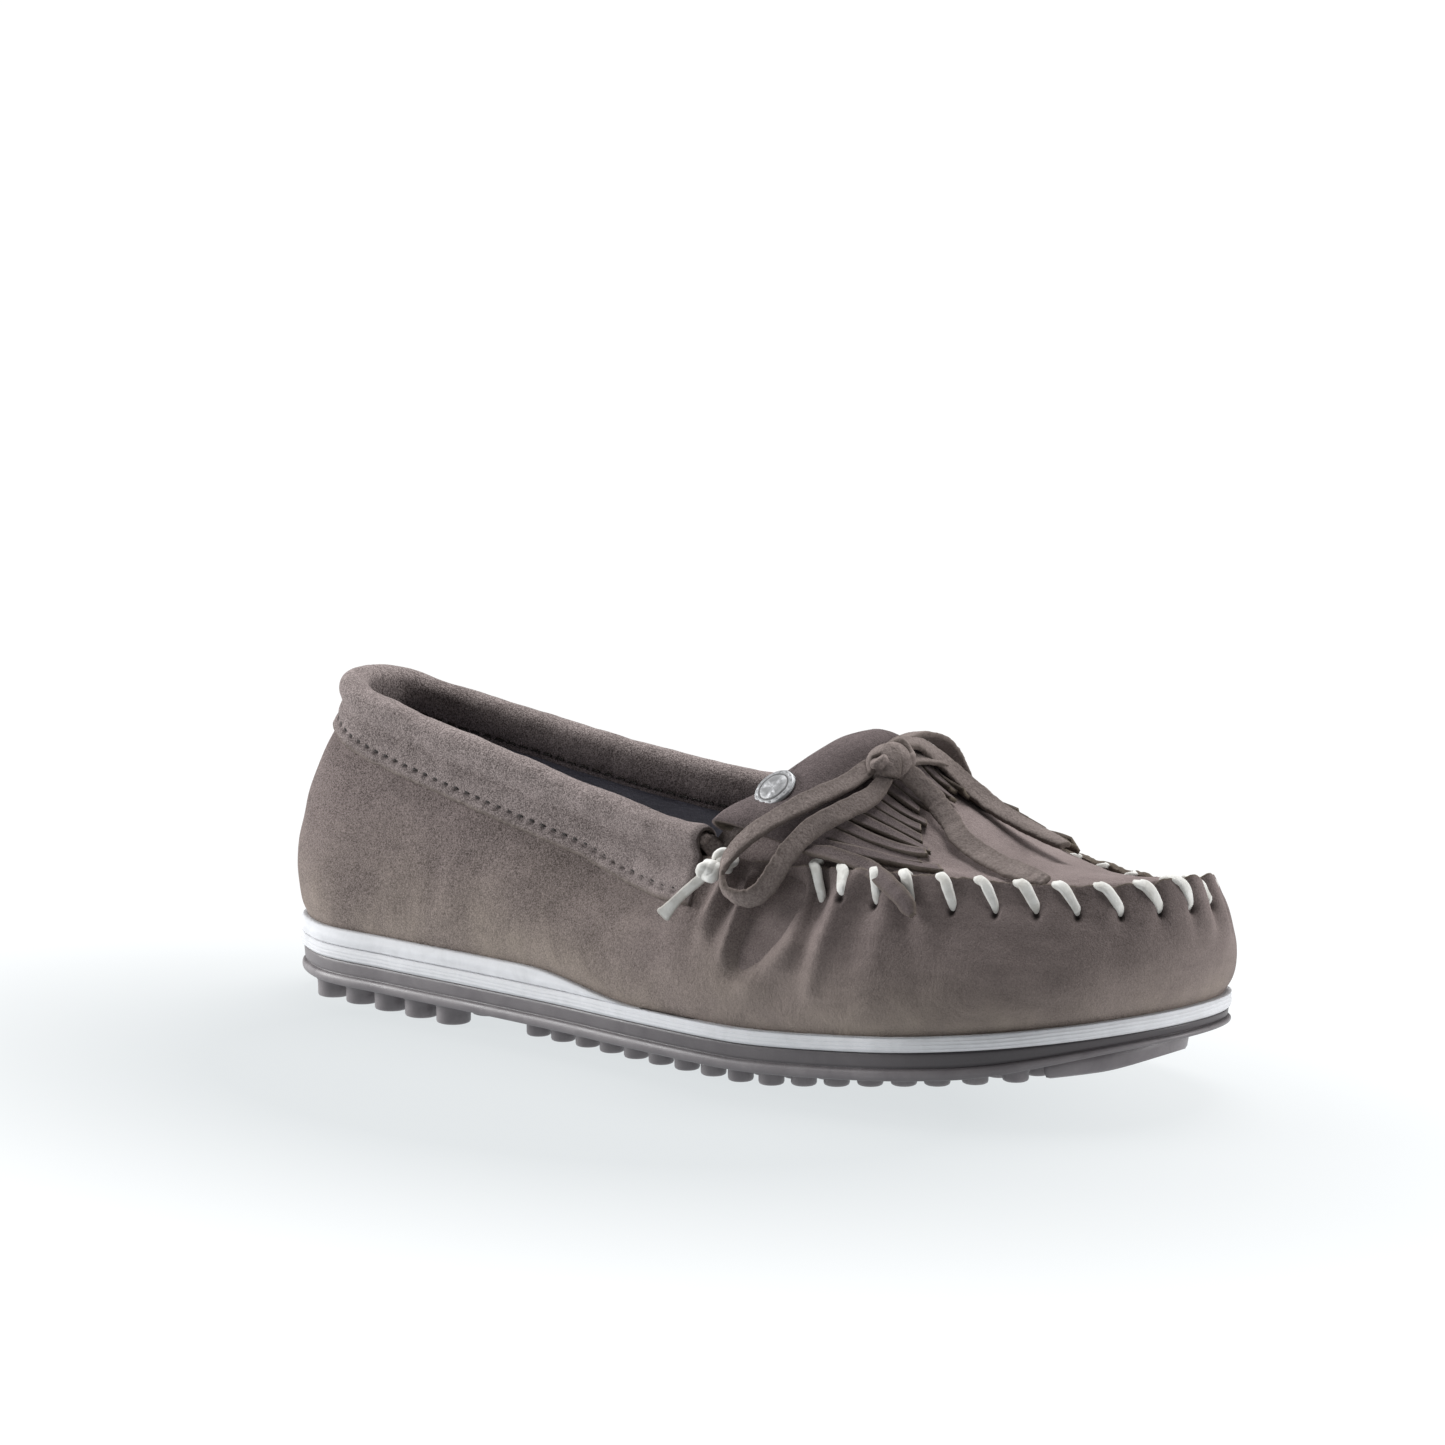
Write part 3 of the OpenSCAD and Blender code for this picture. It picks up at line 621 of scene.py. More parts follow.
def level_stack(name, profile, material, node):
    """A sole layer from a profile of (level function, grow, lift, shade, level)."""
    pts, faces = stack([ring(f, g, l) for f, g, l, *_ in profile])
    shade, level = (np.repeat([p[k] for p in profile], len(RING)) for k in (3, 4))
    make(name, pts, faces, material, node, {"shade": shade, "level": level})


# The plate's side is a recessed band over a rounded lip: (grow, height, shade).
LIP = [(a, -0.75 + 0.75*math.cos(math.radians(a)), 1.35 + 1.3*math.sin(math.radians(a)))
       for a in range(-80, 86, 15)]
plate = [(-2.6, 0.1, 0.7)] + [(g, l, max(0, -a/140)) for a, g, l in LIP]
plate += [(-0.95, 2.75, 0.7), (-0.8, 3.1, 0.5), (-0.7, 3.5, 0.34), (-0.6, 5.0, 0.34),
          (-0.55, 5.6, 0.4), (-0.6, 6.0, 0.5), (-0.9, 6.3, 0.8)]


def plate_level(height):
    """The level of a plate ring; the plate, and so its rings, close up where it thins."""
    return lambda x: plate_bottom(x) + (plate_top(x) - plate_bottom(x))*height/PLATE


parts = []
pts, faces = stack([ring(plate_level(h), grow, 0) for grow, h, _ in plate])
# Painted shade: the rubber is darkened towards the toe, its band (after the lip's rings) more than
# its lip.
front = 0.36*smooth((EDGE[:, 0] - 50)/130) + 0.28*smooth((EDGE[:, 0] - 175)/50)
BAND_START = 9
parts.append((pts, faces, np.concatenate([dark + front*(1.0 if k > BAND_START else 0.4)
                                          for k, (_, _, dark) in enumerate(plate)])))


def stud(x, y, d):
    """A round stud with a domed end and a small fillet at the plate."""
    z0 = float(tread(x))
    h = float(plate_bottom(x)) - z0
    prof = [(0.10, 0.0), (0.55, 0.02), (0.82, 0.12), (0.95, 0.34), (1.0, 0.75), (1.0, 0.5*h),
            (1.02, h - 0.8), (1.10, h - 0.25), (1.22, h + 0.4)]
    a = np.linspace(0, 2*math.pi, 28, endpoint=False)
    rings = [np.column_stack([x + d/2*r*np.cos(a), y + d/2*r*np.sin(a), 0*a + z0 + z])
             for r, z in prof]
    shade = [0.0, 0.0, 0.0, 0.0, 0.03, 0.1, 0.25, 0.55, 0.85]
    p, f = stack(rings)
    return p, f, np.repeat(shade, len(a))


LATERAL = STATIONS[:TOE + 1, :2]
MEDIAL = np.concatenate([STATIONS[:1, :2], STATIONS[:TOE - 1:-1, :2]])


def stud_row(x, inset, d, pitch):
    """Studs across the sole at x, evenly spread between its inset edges."""
    low = np.interp(x, LATERAL[:, 0], LATERAL[:, 1]) + inset
    high = np.interp(x, MEDIAL[:, 0], MEDIAL[:, 1]) - inset
    spaces = max(1, round((high - low)/pitch))
    return [stud(x, low + (high - low)*j/spaces, d) for j in range(spaces + 1)]


# Large studs under the heel, small ones from the waist to the pad under the toe
for x in np.arange(20, 71, 11):
    parts += stud_row(x, 6, 8.2, 11.2)
for x in np.arange(89, 222, 8.3):
    parts += stud_row(x, 10.5 + 3*float(smooth((x - 148)/50)), 5.8, 8.8)


def toe_pad():
    """Smooth pad that closes the stud field and thins out under the toe."""
    def low(x):
        return tread(x) + 2.5*smooth((x - 236)/14)
    ring_low = ring(low, -9.2, 0.0)
    edge = ring_low[ring_low[:, 0] > 228]
    half = len(edge)//2
    a, b = edge[:half], edge[::-1][:half]
    rows = []
    for f, z in ((0.0, 1.0), (0.0, 0.45), (0.018, 0.12), (0.05, 0.0), (0.5, 0.0), (0.95, 0.0),
                 (0.982, 0.12), (1.0, 0.45), (1.0, 1.0)):
        line = a + (b - a)*f
        depth = (plate_bottom(line[:, 0]) + 0.5) - low(line[:, 0])
        line[:, 2] = low(line[:, 0]) + depth*z
        rows.append(line)
    loop = np.transpose(np.array(rows), (1, 0, 2))
    n, m = loop.shape[:2]
    faces = grid_faces(n, m, loop_m=True)
    faces += [list(range(m))[::-1], [(n - 1)*m + j for j in range(m)]]
    return loop.reshape(-1, 3), faces, np.full(n*m, 0.25)


parts.append(toe_pad())
pts, faces, shade = join(parts)
make("outsole_moulded", pts, faces, mat_outsole, "outsole", {"shade": shade})

# The white layers: (level, grow, lift, shade, height along both layers from 0 to 1)
strip = [(plate_top, -1.4, 0.0, 0.6, 0.0), (plate_top, -0.45, 0.05, 0.35, 0.02),
         (plate_top, -0.12, 0.35, 0.05, 0.08), (plate_top, 0.0, 0.9, 0, 0.2),
         (plate_top, 0.05, 1.7, 0, 0.35), (plate_top, 0.0, 2.6, 0, 0.55),
         (plate_top, -0.1, 3.0, 0.02, 0.62), (plate_top, -0.28, 3.3, 0.16, 0.66),
         (plate_top, -0.8, 3.42, 0.25, 0.67)]
level_stack("midsole_strip", strip, mat_foam, "midsole")


def wedge_top(x):
    return np.maximum(sole_top(x), strip_top(x) + 0.02)


def wedge_level(f):
    return lambda x: strip_top(x) + (wedge_top(x) - strip_top(x))*f


wedge = [(strip_top, -0.9, -0.05, 0.3, 0.67), (wedge_level(0.04), -0.28, 0.04, 0.14, 0.68),
         (wedge_level(0.14), -0.08, 0.0, 0, 0.72), (wedge_level(0.35), 0.02, 0.0, 0, 0.8),
         (wedge_level(0.6), 0.02, 0.0, 0, 0.88), (wedge_level(0.82), -0.06, 0.0, 0, 0.94),
         (wedge_level(0.94), -0.22, 0.0, 0.06, 0.98), (wedge_level(1.0), -0.6, 0.0, 0.2, 1.0),
         (wedge_level(1.0), -1.6, 0.0, 0.5, 1.0)]
level_stack("heel_wedge_strip", wedge, mat_foam, "heel_wedge")

# ---------------------------------------------------------------- whip stitches
# Stations of the stitches' upper ends along the toe seam, from the lateral throat round the
# toe to the medial throat, and how far each leans towards the next.
STITCHES = np.array([7.69, 7.99, 8.37, 8.70, 9.11, 9.56, 10.01, 10.42, 10.86, 11.34,
                     11.84, 12.34, 12.82, 13.28, 13.74, 14.18, 14.6, 15.0, 15.38, 15.74, 16.08,
                     16.42, 16.72])
LEAN = np.array([.15, .14, .10, .14, .20, .23, .21, .21, .24, .24,
                 .23, .22, .22, .21, .2, .2, .18, .17, .16, .15, .15, .14])
HOLE_V = 0.85
STITCH_MID = np.sort(np.concatenate([STITCHES, (STITCHES[:-1] + STITCHES[1:])/2])) + 0.1


def edge_lift(s):
    """How far the wrap's cut edge stands over its nominal top, most at the gathered toe."""
    s = np.asarray(s, float)
    k = smooth((s - THROAT_OUTER)/0.3)*smooth((TURNS - THROAT_OUTER - s)/0.3)
    pleat = np.interp(s, STITCH_MID, np.resize([-1.0, 1.0], len(STITCH_MID)))
    tip = bell(s - 12.6, 0.95)
    return k*(0.75 + 0.35*tip + pleat*(0.12 + 0.34*tip))


# ---------------------------------------------------------------- the wrap
COLS = np.concatenate([np.linspace(-THROAT_OUTER - 0.1, THROAT_OUTER + 0.1, 230)[:-1],
                       np.linspace(THROAT_OUTER + 0.1, TURNS - THROAT_OUTER - 0.1, 560)[:-1]])
ROWS = 1 - (1 - np.linspace(0, 1, 86))**1.15
LEN_S = np.linspace(-8, 32, 2401)
LEN = np.concatenate([[0], np.cumsum(np.linalg.norm(np.diff(wall(LEN_S, 0.7), axis=0), axis=1))])


def arc(s):
    """Distance round the wall, in mm, up to station s."""
    return np.interp(s, LEN_S, LEN)


# Folds of the wrap: station and level of both ends, half width, and depth (+ is a ridge)
FOLDS = [
    (7.10, 0.88, 7.02, 0.44, 1.7, 2.6), (7.28, 0.86, 7.20, 0.42, 3.4, -3.6),
    (7.44, 0.84, 7.38, 0.46, 3.4, -3.4), (7.60, 0.86, 7.55, 0.60, 2.4, -1.8),
    (6.92, 0.86, 6.84, 0.56, 1.9, -2.2), (6.78, 0.88, 6.70, 0.60, 1.8, 1.2),
    (6.58, 0.84, 6.60, 0.50, 2.6, -1.2), (7.72, 0.52, 7.28, 0.27, 3.2, 1.6),
    (8.14, 0.86, 7.96, 0.30, 2.6, 2.2), (7.86, 0.84, 7.80, 0.50, 2.6, -2.2),
    (8.36, 0.84, 8.34, 0.45, 3.2, -0.9), (8.62, 0.82, 8.66, 0.48, 2.8, 0.8),
    (8.86, 0.80, 8.94, 0.50, 2.4, -0.6), (9.08, 0.80, 9.16, 0.56, 2.4, 0.5),
    (16.85, 0.86, 16.9, 0.45, 3.4, -2.4), (17.1, 0.86, 17.2, 0.42, 2.2, 1.5),
    (16.55, 0.86, 16.5, 0.5, 2.6, 1.2), (16.3, 0.84, 16.25, 0.5, 2.8, -1.6),
    (15.95, 0.84, 15.9, 0.5, 2.8, 1.0), (15.55, 0.84, 15.5, 0.5, 2.6, -0.8),
    (17.4, 0.84, 17.4, 0.5, 2.6, -0.9)]


def pull(s):
    """How hard the lacing gathers the wrap at station s."""
    return (0.35 + 1.45*bell(s - 12.5, 1.15) + 0.75*bell(s - 7.1, 0.7)
            + 0.75*bell(s - 16.9, 0.7))


def fold_depth(s, v):
    """Displacement of the wrap from its folds, gathers and undulations, and its shade."""
    x, z = arc(s), v*wall_height(s)
    d, dark = np.zeros_like(x), np.zeros_like(x)
    for s0, v0, s1, v1, width, depth in FOLDS:
        a = np.array([arc(s0), v0*wall_height(np.array(s0))])
        b = np.array([arc(s1), v1*wall_height(np.array(s1))])
        ab = b - a
        t = np.clip(((x - a[0])*ab[0] + (z - a[1])*ab[1])/(ab@ab), 0, 1)
        r = np.hypot(x - a[0] - t*ab[0], (z - a[1] - t*ab[1])*0.8)
        crest = bell(r, width)*(1 - 0.55*t)
        d += depth*crest
        dark += np.maximum(0, -depth)*crest*0.035
    for s0, lean in zip(STITCHES, LEAN):
        s1 = s0 + lean
        x0, h = arc(s1), float(wall_height(np.array(s1)))
        k = float(pull(s1))
        z0 = HOLE_V*h
        reach = 5 + 5.5*k
        t = np.clip((z0 + 1 - z)/reach, 0, 1.0)
        wide = 1.25 + 1.5*t
        valley = bell(x - x0, wide)*(1 - smooth(t))*(z < z0 + 6)
        d -= 0.85*k*valley
        dark += 0.05*k*valley
        hole = np.exp(-(((x - x0 - 0.2)/0.9)**2 + ((z - z0 + 1.25)/1.2)**2)**1.3)
        d -= 0.9*hole
        dark += hole
    holes = [arc(a + b) for a, b in zip(STITCHES, LEAN)]
    for x0, x1 in zip(holes[:-1], holes[1:]):
        mid, half = (x0 + x1)/2, (x1 - x0)/2
        sm = np.interp(mid, LEN, LEN_S)
        h = float(wall_height(np.array(sm)))
        d += 0.42*float(pull(sm))*bell(x - mid, half*0.8)*bell(z - h*0.90, 7.0)
    return d, np.clip(dark, 0, 1)


S, V = np.meshgrid(COLS, ROWS, indexing="ij")
S, V = S.T, V.T
base = wall(S, V)
fade = smooth(V/0.22)*smooth((1.03 - V)/0.06)
d, dark = fold_depth(S, V)
under_collar = (S < THROAT_OUTER + 0.05)
rolling = 0.45*cloud(base, 26, 1.0, 2) + 0.16*cloud(base, 7, 2.0)
d = d*smooth((V - 0.06)/0.2)*(~under_collar + under_collar*smooth((1 - V)/0.35)) + rolling*fade
back_seam = bell(np.where(S > 12, S - 24, S)*17, 0.8)
d -= 0.45*back_seam*smooth(V/0.1)
bottom_roll = bell(V*wall_height(S), 1.6)
d -= 0.35*bottom_roll
outer = skin(S, V, d)
outer[0] -= 0.6*UP
edge_fuzz = 0.22*cloud(wall(COLS, 1.0), 1.3, 3.0) + 0.25*cloud(wall(COLS, 1.0), 5.0, 4.0)
lift = edge_lift(COLS)
outer += (lift*smooth((V - 0.86)/0.14))[..., None]*UP
outer[-1] += edge_fuzz[:, None]*UP
outer[-2] += 0.4*edge_fuzz[:, None]*UP
top_d = d[-1]
rim = [wall(COLS, 1.0) + (top_d - LEATHER*f)[:, None]*wall_normal(COLS, np.ones_like(COLS))
       + (lift*k + edge_fuzz)[:, None]*UP for f, k in ((0.12, 1.12), (0.5, 1.2), (0.88, 1.12))]
inner = [skin(COLS, v, top_d*f - LEATHER) + (lift*g)[:, None]*UP
         for v, f, g in ((1.0, 1, 1), (0.95, 0.8, 0.3), (0.88, 0.5, 0), (0.7, 0.2, 0),
                         (0.5, 0, 0), (0.3, 0, 0), (0.14, 0, 0))]
floor_ring = skin(COLS, 0.0, -LEATHER - 0.2) + 2.3*UP
inner[-1] = skin(COLS, 0.13, -LEATHER)
rings = np.concatenate([outer, np.array(rim), np.array(inner), floor_ring[None]])
pts, faces = stack(rings)
around_heel = smooth((9 - np.abs(np.where(S > 12, S - 24, S)))/3)
near_sole = np.exp(-(V*wall_height(S)/(10.0 + 7*around_heel))**1.6)
near_sole = near_sole*(0.75 + 0.35*cloud(base, 18, 6.0))
warm = np.zeros(rings.shape[:2])
warm[:len(ROWS)] = np.clip(near_sole, 0, 1)
shade = np.zeros(rings.shape[:2])
crease = 0.12*bell(V*wall_height(S), 0.7)
shade[:len(ROWS)] = np.clip(dark + crease + 0.3*back_seam*smooth(V/0.1), 0, 1)
rim_a = np.zeros(rings.shape[:2])
rim_a[len(ROWS) - 1:len(ROWS) + 4] = 1
rim_a[len(ROWS) - 2] = 0.4
make("wrap_gathered", pts, faces, mat_wrap, "upper_wrap",
     {"warm": warm, "shade": shade, "rim": rim_a})


# ---------------------------------------------------------------- layers inside
def layer(name, s0, s1, cols, v0, v1, rows, depth, thick, material, node, slot):
    """A sheet that follows the wall at the given depth, between two stations and levels."""
    s, v = np.meshgrid(np.linspace(s0, s1, cols), np.linspace(v0, v1, rows), indexing="ij")
    pts, faces, _ = slab(skin(s, v, -depth), skin(s, v, -depth - thick))
    make(name, pts, faces, material, node)


layer("heel_counter_board", -3.4, 3.4, 90, 0.16, 0.8, 14, 1.42, 1.15, mat_board,
      "heel_counter", "board")
layer("quarter_lining_cloth", THROAT_INNER + 0.1, THROAT_OUTER - 0.1, 160, 0.16, 0.98, 24, 2.72,
      0.78, mat_lining, "quarter_lining", "lining")


def insert(name, edge, low, high, material, node, dish=0.0, bevel=0.4):
    """A slab inside the upper with rounded edges and a slightly dished top."""
    inset = [(-edge - bevel, low), (-edge, low + bevel), (-edge, high - bevel),
             (-edge - 0.3*bevel, high - 0.3*bevel), (-edge - bevel, high)]
    rings = [ring(sole_top, g, l) for g, l in inset]
    base_ring = ring(sole_top, -edge - bevel, high)
    axis = base_ring.copy()
    axis[:, 1] = np.interp(axis[:, 0], [0, 60, 130, 200, 252], [0, -0.5, -5, -1, 4])
    axis[:, 0] = np.clip(axis[:, 0], 18, 236)
    for f in (0.06, 0.14, 0.26, 0.42, 0.6, 0.8, 0.97):
        p = base_ring + (axis - base_ring)*f
        p[:, 2] = sole_top(p[:, 0]) + high + dish*(1 - f) - dish
        rings.append(p)
    pts, faces = stack(rings)
    return make(name, pts, faces, material, node)


insert("insole_board_cut", 5, 2.4, 3.9, mat_board, "insole_board")
bed = insert("footbed_pad", 5.2, 4.0, 7.6, mat_cover, "footbed", 0.3, 1.0)
insert("footbed_cover_cloth", 5.2, 7.7, 8.5, mat_cover, "footbed_cover", 0.35, 0.3)

# ---------------------------------------------------------------- the plug
P, T = np.meshgrid(np.linspace(-1, 1, 121), np.linspace(0, 1, 150), indexing="ij")
P, T = P.T, T.T
SS = throat(P) + (TOE - 0.18 - throat(P))*T
flat = plug_face(P, SS)
edge_d = (1 - np.abs(P))*np.linalg.norm(plug_face(1.0, SS) - plug_face(-1.0, SS), axis=-1)/2
d = 0.35*cloud(flat, 22, 7.0, 2) + 0.10*cloud(flat, 6, 8.0)
shade = np.zeros_like(d)
for s0 in STITCHES:
    side = -1 if s0 < TOE else 1
    seam = plug_face(float(side), min(s0, TURNS - s0))
    r = np.linalg.norm(flat - seam, axis=-1)
    k = float(pull(s0))
    dent = bell(r, 3.4)
    d -= 0.35*(0.6 + 0.5*k)*dent
    shade += 0.16*bell(r, 2.2)
d += 0.5*bell(edge_d - 4.5, 2.6)*(0.6 + 0.5*cloud(flat, 9, 9.0))
shade += 0.22*bell(edge_d, 1.5)
outer = over_plug(P, SS, d)
inner = over_plug(P, SS, d*0.6 - LEATHER)
pts, faces, used = slab(outer.transpose(1, 0, 2), inner.transpose(1, 0, 2))
both = np.concatenate([shade.T.ravel(), 0*shade.T.ravel()])[used]
make("plug_panel", pts, faces, mat_plug, "plug", {"shade": np.clip(both, 0, 1)})

# ---------------------------------------------------------------- the whip stitches
parts = []
for k, (s0, lean) in enumerate(zip(STITCHES, LEAN)):
    side = -1.0 if s0 < TOE else 1.0
    mirror = min(s0, TURNS - s0)
    top = wall(s0, 1.0)
    out = outward(s0)
    width = np.linalg.norm(plug_face(1.0, mirror) - plug_face(-1.0, mirror))
    if mirror < 11.6:
        p_in = side*(1 - 2*2.0/width)
        hole = over_plug(p_in, mirror - 0.03, 0.0)
    else:
        hole = top - 3.6*out + 0.3*UP
    s1, sm = s0 + lean, s0 + lean*0.45
    deep, _ = fold_depth(np.array([s1, s1 - lean*0.25]), np.array([HOLE_V, 0.93]))
    proud = float(edge_lift(s0 + lean*0.2))
    points = [hole - 1.6*UP, hole + 0.1*UP + 0.3*out,
            hole*0.25 + top*0.75 + (0.45 + 0.85*proud)*UP + 0.3*out,
            skin(sm, 0.985, 0.85) + 0.45*proud*UP,
            skin(s1 - lean*0.25, 0.925, 0.8 + max(-0.4, deep[1])),
            skin(s1 + 0.004, HOLE_V + 0.005, 0.15 + max(-1.0, deep[0])),
            skin(s1 + 0.006, HOLE_V - 0.03, -2.0)]
    tucked = float(smooth((s0 - 11.9)/0.3)*smooth((16 - s0)/0.3))
    points[2:5] = [q - tucked*(0.9*UP + 0.7*out) for q in points[2:5]]
    c = route(points, 26)
    t = np.linspace(0, 1, len(c))
    outwards = unit(t[:, None]*out*1.6 + np.linspace(1, 0, len(c))[:, None]*UP)
    taper = np.interp(t, [0, 0.25, 0.6, 0.85, 1], [0.7, 0.9, 1, 0.78, 0.5])
    w = (2.45 + 0.2*math.sin(k*2.3))*taper*(1 - 0.25*tucked)
    parts.append(ribbon(c, outwards, w, 1.15, curl=-0.18, seed=20.0 + k, rough=0.12, n_side=18))
pts, faces, edge = join(parts)
make("toe_seam_stitches", pts, faces, mat_white, "toe_lacing",
     {"shade": 0.08*edge})


def overhand(centre, size, turn, thick):
    """A small tight overhand knot: a squeezed trefoil of the lace."""
    t = np.linspace(0, 2*math.pi, 97)[:-1]
    p = np.column_stack([np.sin(t) + 2*np.sin(2*t), np.cos(t) - 2*np.cos(2*t), -1.5*np.sin(3*t)])
    p = p/3.0*(size/2 - thick*0.42)
    ca, sa, cb, sb = math.cos(turn), math.sin(turn), math.cos(turn*1.7), math.sin(turn*1.7)
    m = (np.array([[ca, -sa, 0], [sa, ca, 0], [0, 0, 1]])
         @ np.array([[1, 0, 0], [0, cb, -sb], [0, sb, cb]]))
    p = p@m.T + centre
    d = unit(np.roll(p, -1, 0) - np.roll(p, 1, 0))
    u = unit(np.cross(d, p - centre + 0.01))
    w = np.cross(d, u)
    a = np.linspace(0, 2*math.pi, 12, endpoint=False)
    rings = np.array([p[i] + thick/2*(np.cos(a)[:, None]*u[i] + np.sin(a)[:, None]*w[i])
                      for i in range(len(p))])
    # Painted shade: the lace is darker the deeper it lies inside the knot.
    depth = np.linalg.norm(rings - centre, axis=-1)
    dark = np.clip(1 - (depth - size*0.22)/(size*0.22), 0, 1)
    return rings.reshape(-1, 3), grid_faces(*rings.shape[:2], True, True), 0.8*dark.ravel()


def ball(centre, r, stretch=(1, 1, 1), seed=0.0, bumps=0.1, n=18):
    """A lumpy closed core for a knot."""
    th = np.linspace(0.02, math.pi - 0.02, n)
    a = np.linspace(0, 2*math.pi, 2*n, endpoint=False)
    dirs = np.array([[math.sin(t)*np.cos(a), math.sin(t)*np.sin(a), 0*a + math.cos(t)] for t in th])
    dirs = dirs.transpose(0, 2, 1)
    rr = r*(1 + bumps*cloud(dirs*10, 7, seed))
    pts, faces = stack(centre + dirs*rr[..., None]*np.array(stretch))
    return pts, faces, np.zeros(len(pts))


def lacing_end(name, s, side, node):
    """The two knots and the tail where the white lacing ends, on one side of the shoe."""
    k1 = skin(s, 0.97, 3.2)
    k2 = k1 + np.array([-1, 4*side, -2.2])
    tip = k1 + np.array([-11.5, 7.5*side, -12.6])
    parts = [overhand(k1, 5.9, 0.4*side, 2.3), overhand(k2, 6.3, 1.9*side, 2.5),
             ball(k1, 2.45, seed=1.0), ball(k2, 2.6, seed=2.0)]
    into = route([skin(s + 0.10*side, 0.9, -1.2), skin(s, 0.93, 1.2), k1], 8)
    parts.append(tube(into, 1.05, 12))
    c = route([k2, k2 + (tip - k2)*0.25 + np.array([0.2, -0.1*side, 0.5]),
               k2 + (tip - k2)*0.6 + np.array([-0.2, 0.3*side, 0.25]), tip], 26)
    t = np.linspace(0, 1, 27)
    w = np.interp(t, [0, 0.3, 0.72, 0.88, 1], [2.5, 2.35, 2.3, 2.9, 3.7])
    th = np.interp(t, [0, 0.3, 0.8, 1], [2.2, 2.0, 1.7, 1.2])
    parts.append(ribbon(c, np.tile([0.6, 0.75*side, 0.25], (27, 1)), w, th, seed=40.0 + side,
                        rough=0.05, n_side=18))
    pts, faces, dark = join(parts)
    make(name, pts, faces, mat_white, node, {"shade": np.clip(dark, 0, 0.8)*0.8})


lacing_end("lacing_knots_outer", 6.8, -1, "lacing_knot_outer")
lacing_end("lacing_knots_inner", TURNS - 6.8, 1, "lacing_knot_inner")

# ---------------------------------------------------------------- the collar
COLLAR = np.linspace(THROAT_INNER, THROAT_OUTER, 900)
FIRST_STITCH, PITCH, STITCH_UP = 3.0, 3.7, 2.6
TOP_V = 0.985  # level where the collar's legs meet the roll


def roll_centre(s):
    """Centre of the collar's roll, just above the top edge."""
    return wall(s, 1.0) - outward(s) + 3.3*UP


def leg_level(s, drop):
    """Level of the wall that is drop below its top edge."""
    return 1 - drop/(0.9*wall_height(s))


def outer_leg(s):
    """Level of the outer leg's lower edge; the leg is narrow at the heel."""
    return leg_level(s, np.interp(np.abs(s), [0, 2.5, 5, 6], [4.5, 8, 8, 10]))


def reach(s, t):
    """The front ends of the outer leg reach forwards at their lower edge, where t is 0."""
    return np.sign(s)*0.10*smooth(np.abs(s) - 5)*(1 - t)


def collar_line(s, r, d_out, d_in):
    """Lines of points across the collar: up the outer leg, over the roll, down inside."""
    o, lo, li = outward(s), outer_leg(s), leg_level(s, 2.0)
    rows = [skin(s + reach(s, t), lo + (TOP_V - lo)*t, d_out) for t in np.linspace(0, 1, 17)]
    for a in np.radians(np.linspace(-15, 195, 40)):
        rows.append(roll_centre(s) + r*(math.cos(a)*o + math.sin(a)*UP))
    rows += [skin(s, TOP_V + (li - TOP_V)*t, d_in) for t in np.linspace(0, 1, 14)]
    return np.array(rows)


outer = collar_line(COLLAR, ROLL, 1.4, -4.9)
inner = collar_line(COLLAR, ROLL - LEATHER, 0.1, -3.6)
normal = unit(outer - inner)
swell = 0.26*cloud(outer, 16, 11.0, 2) + 0.10*cloud(outer, 4.5, 12.0)
row = np.arange(outer.shape[0])[:, None]
band_up = np.linalg.norm(outer - outer[0], axis=-1)
groove = bell(band_up - STITCH_UP, 0.75)*(row < 20)
pillow = 0.35*bell(band_up - 6.0, 2.4)*(row < 24)


def outer_line(s):
    """The line of topstitches near the lower edge of the outer leg."""
    up = STITCH_UP/(0.9*wall_height(s))
    return skin(s + reach(s, up/(TOP_V - outer_leg(s))), outer_leg(s) + up, 1.1)


def inner_line(s):
    return skin(s, leg_level(s, 2.0) + 1.8/(0.9*wall_height(s)), -4.88)


def run_along(line, s):
    """Distance along a line of stitches at the stations s."""
    steps = np.linalg.norm(np.diff(line(s), axis=0), axis=1)
    return np.concatenate([[0], np.cumsum(steps)])


phase = (run_along(outer_line, COLLAR) + PITCH/2 - FIRST_STITCH - 0.75) % PITCH - PITCH/2
hole = (np.exp(-((phase/0.85)**4))*bell(band_up - STITCH_UP, 0.36)*(row < 20))
inside = np.linalg.norm(outer - outer[-1], axis=-1)
inner_groove = bell(inside - 1.8, 0.6)*(row > len(row) - 14)
heel_seam = bell((COLLAR - 0.03)*17, 0.7)[None, :]
ends = np.minimum(COLLAR - THROAT_INNER, THROAT_OUTER - COLLAR)*24
tuck = bell(ends, 1.3)[None, :]
move = swell + pillow - 0.30*groove - 0.42*hole - 0.35*inner_groove - 0.15*heel_seam - 0.55*tuck
outer = outer + move[..., None]*normal
raw = 0.16*cloud(outer[0], 1.1, 13.0) + 0.2*cloud(outer[0], 6.0, 14.0)
outer[0] += raw[:, None]*UP
inner[0] += raw[:, None]*UP
pts, faces, used = slab(outer, inner)
shade = np.clip(0.06*groove + 0.9*hole + 0.3*inner_groove + 0.1*heel_seam + 0.6*tuck, 0, 1)
rim_a = np.zeros_like(shade)
rim_a[0], rim_a[1], rim_a[-1] = 1.0, 0.35, 1.0
shade = np.concatenate([shade.ravel(), 0.4*tuck.repeat(len(row), 0).ravel()])[used]
rim_a = np.concatenate([rim_a.ravel(), np.ones(rim_a.size)])[used]
make("collar_roll", pts, faces, mat_collar, "collar_band",
     {"shade": shade, "rim": rim_a})

# The topstitches, each a short sunk length of thread, outside and inside the collar
parts = []


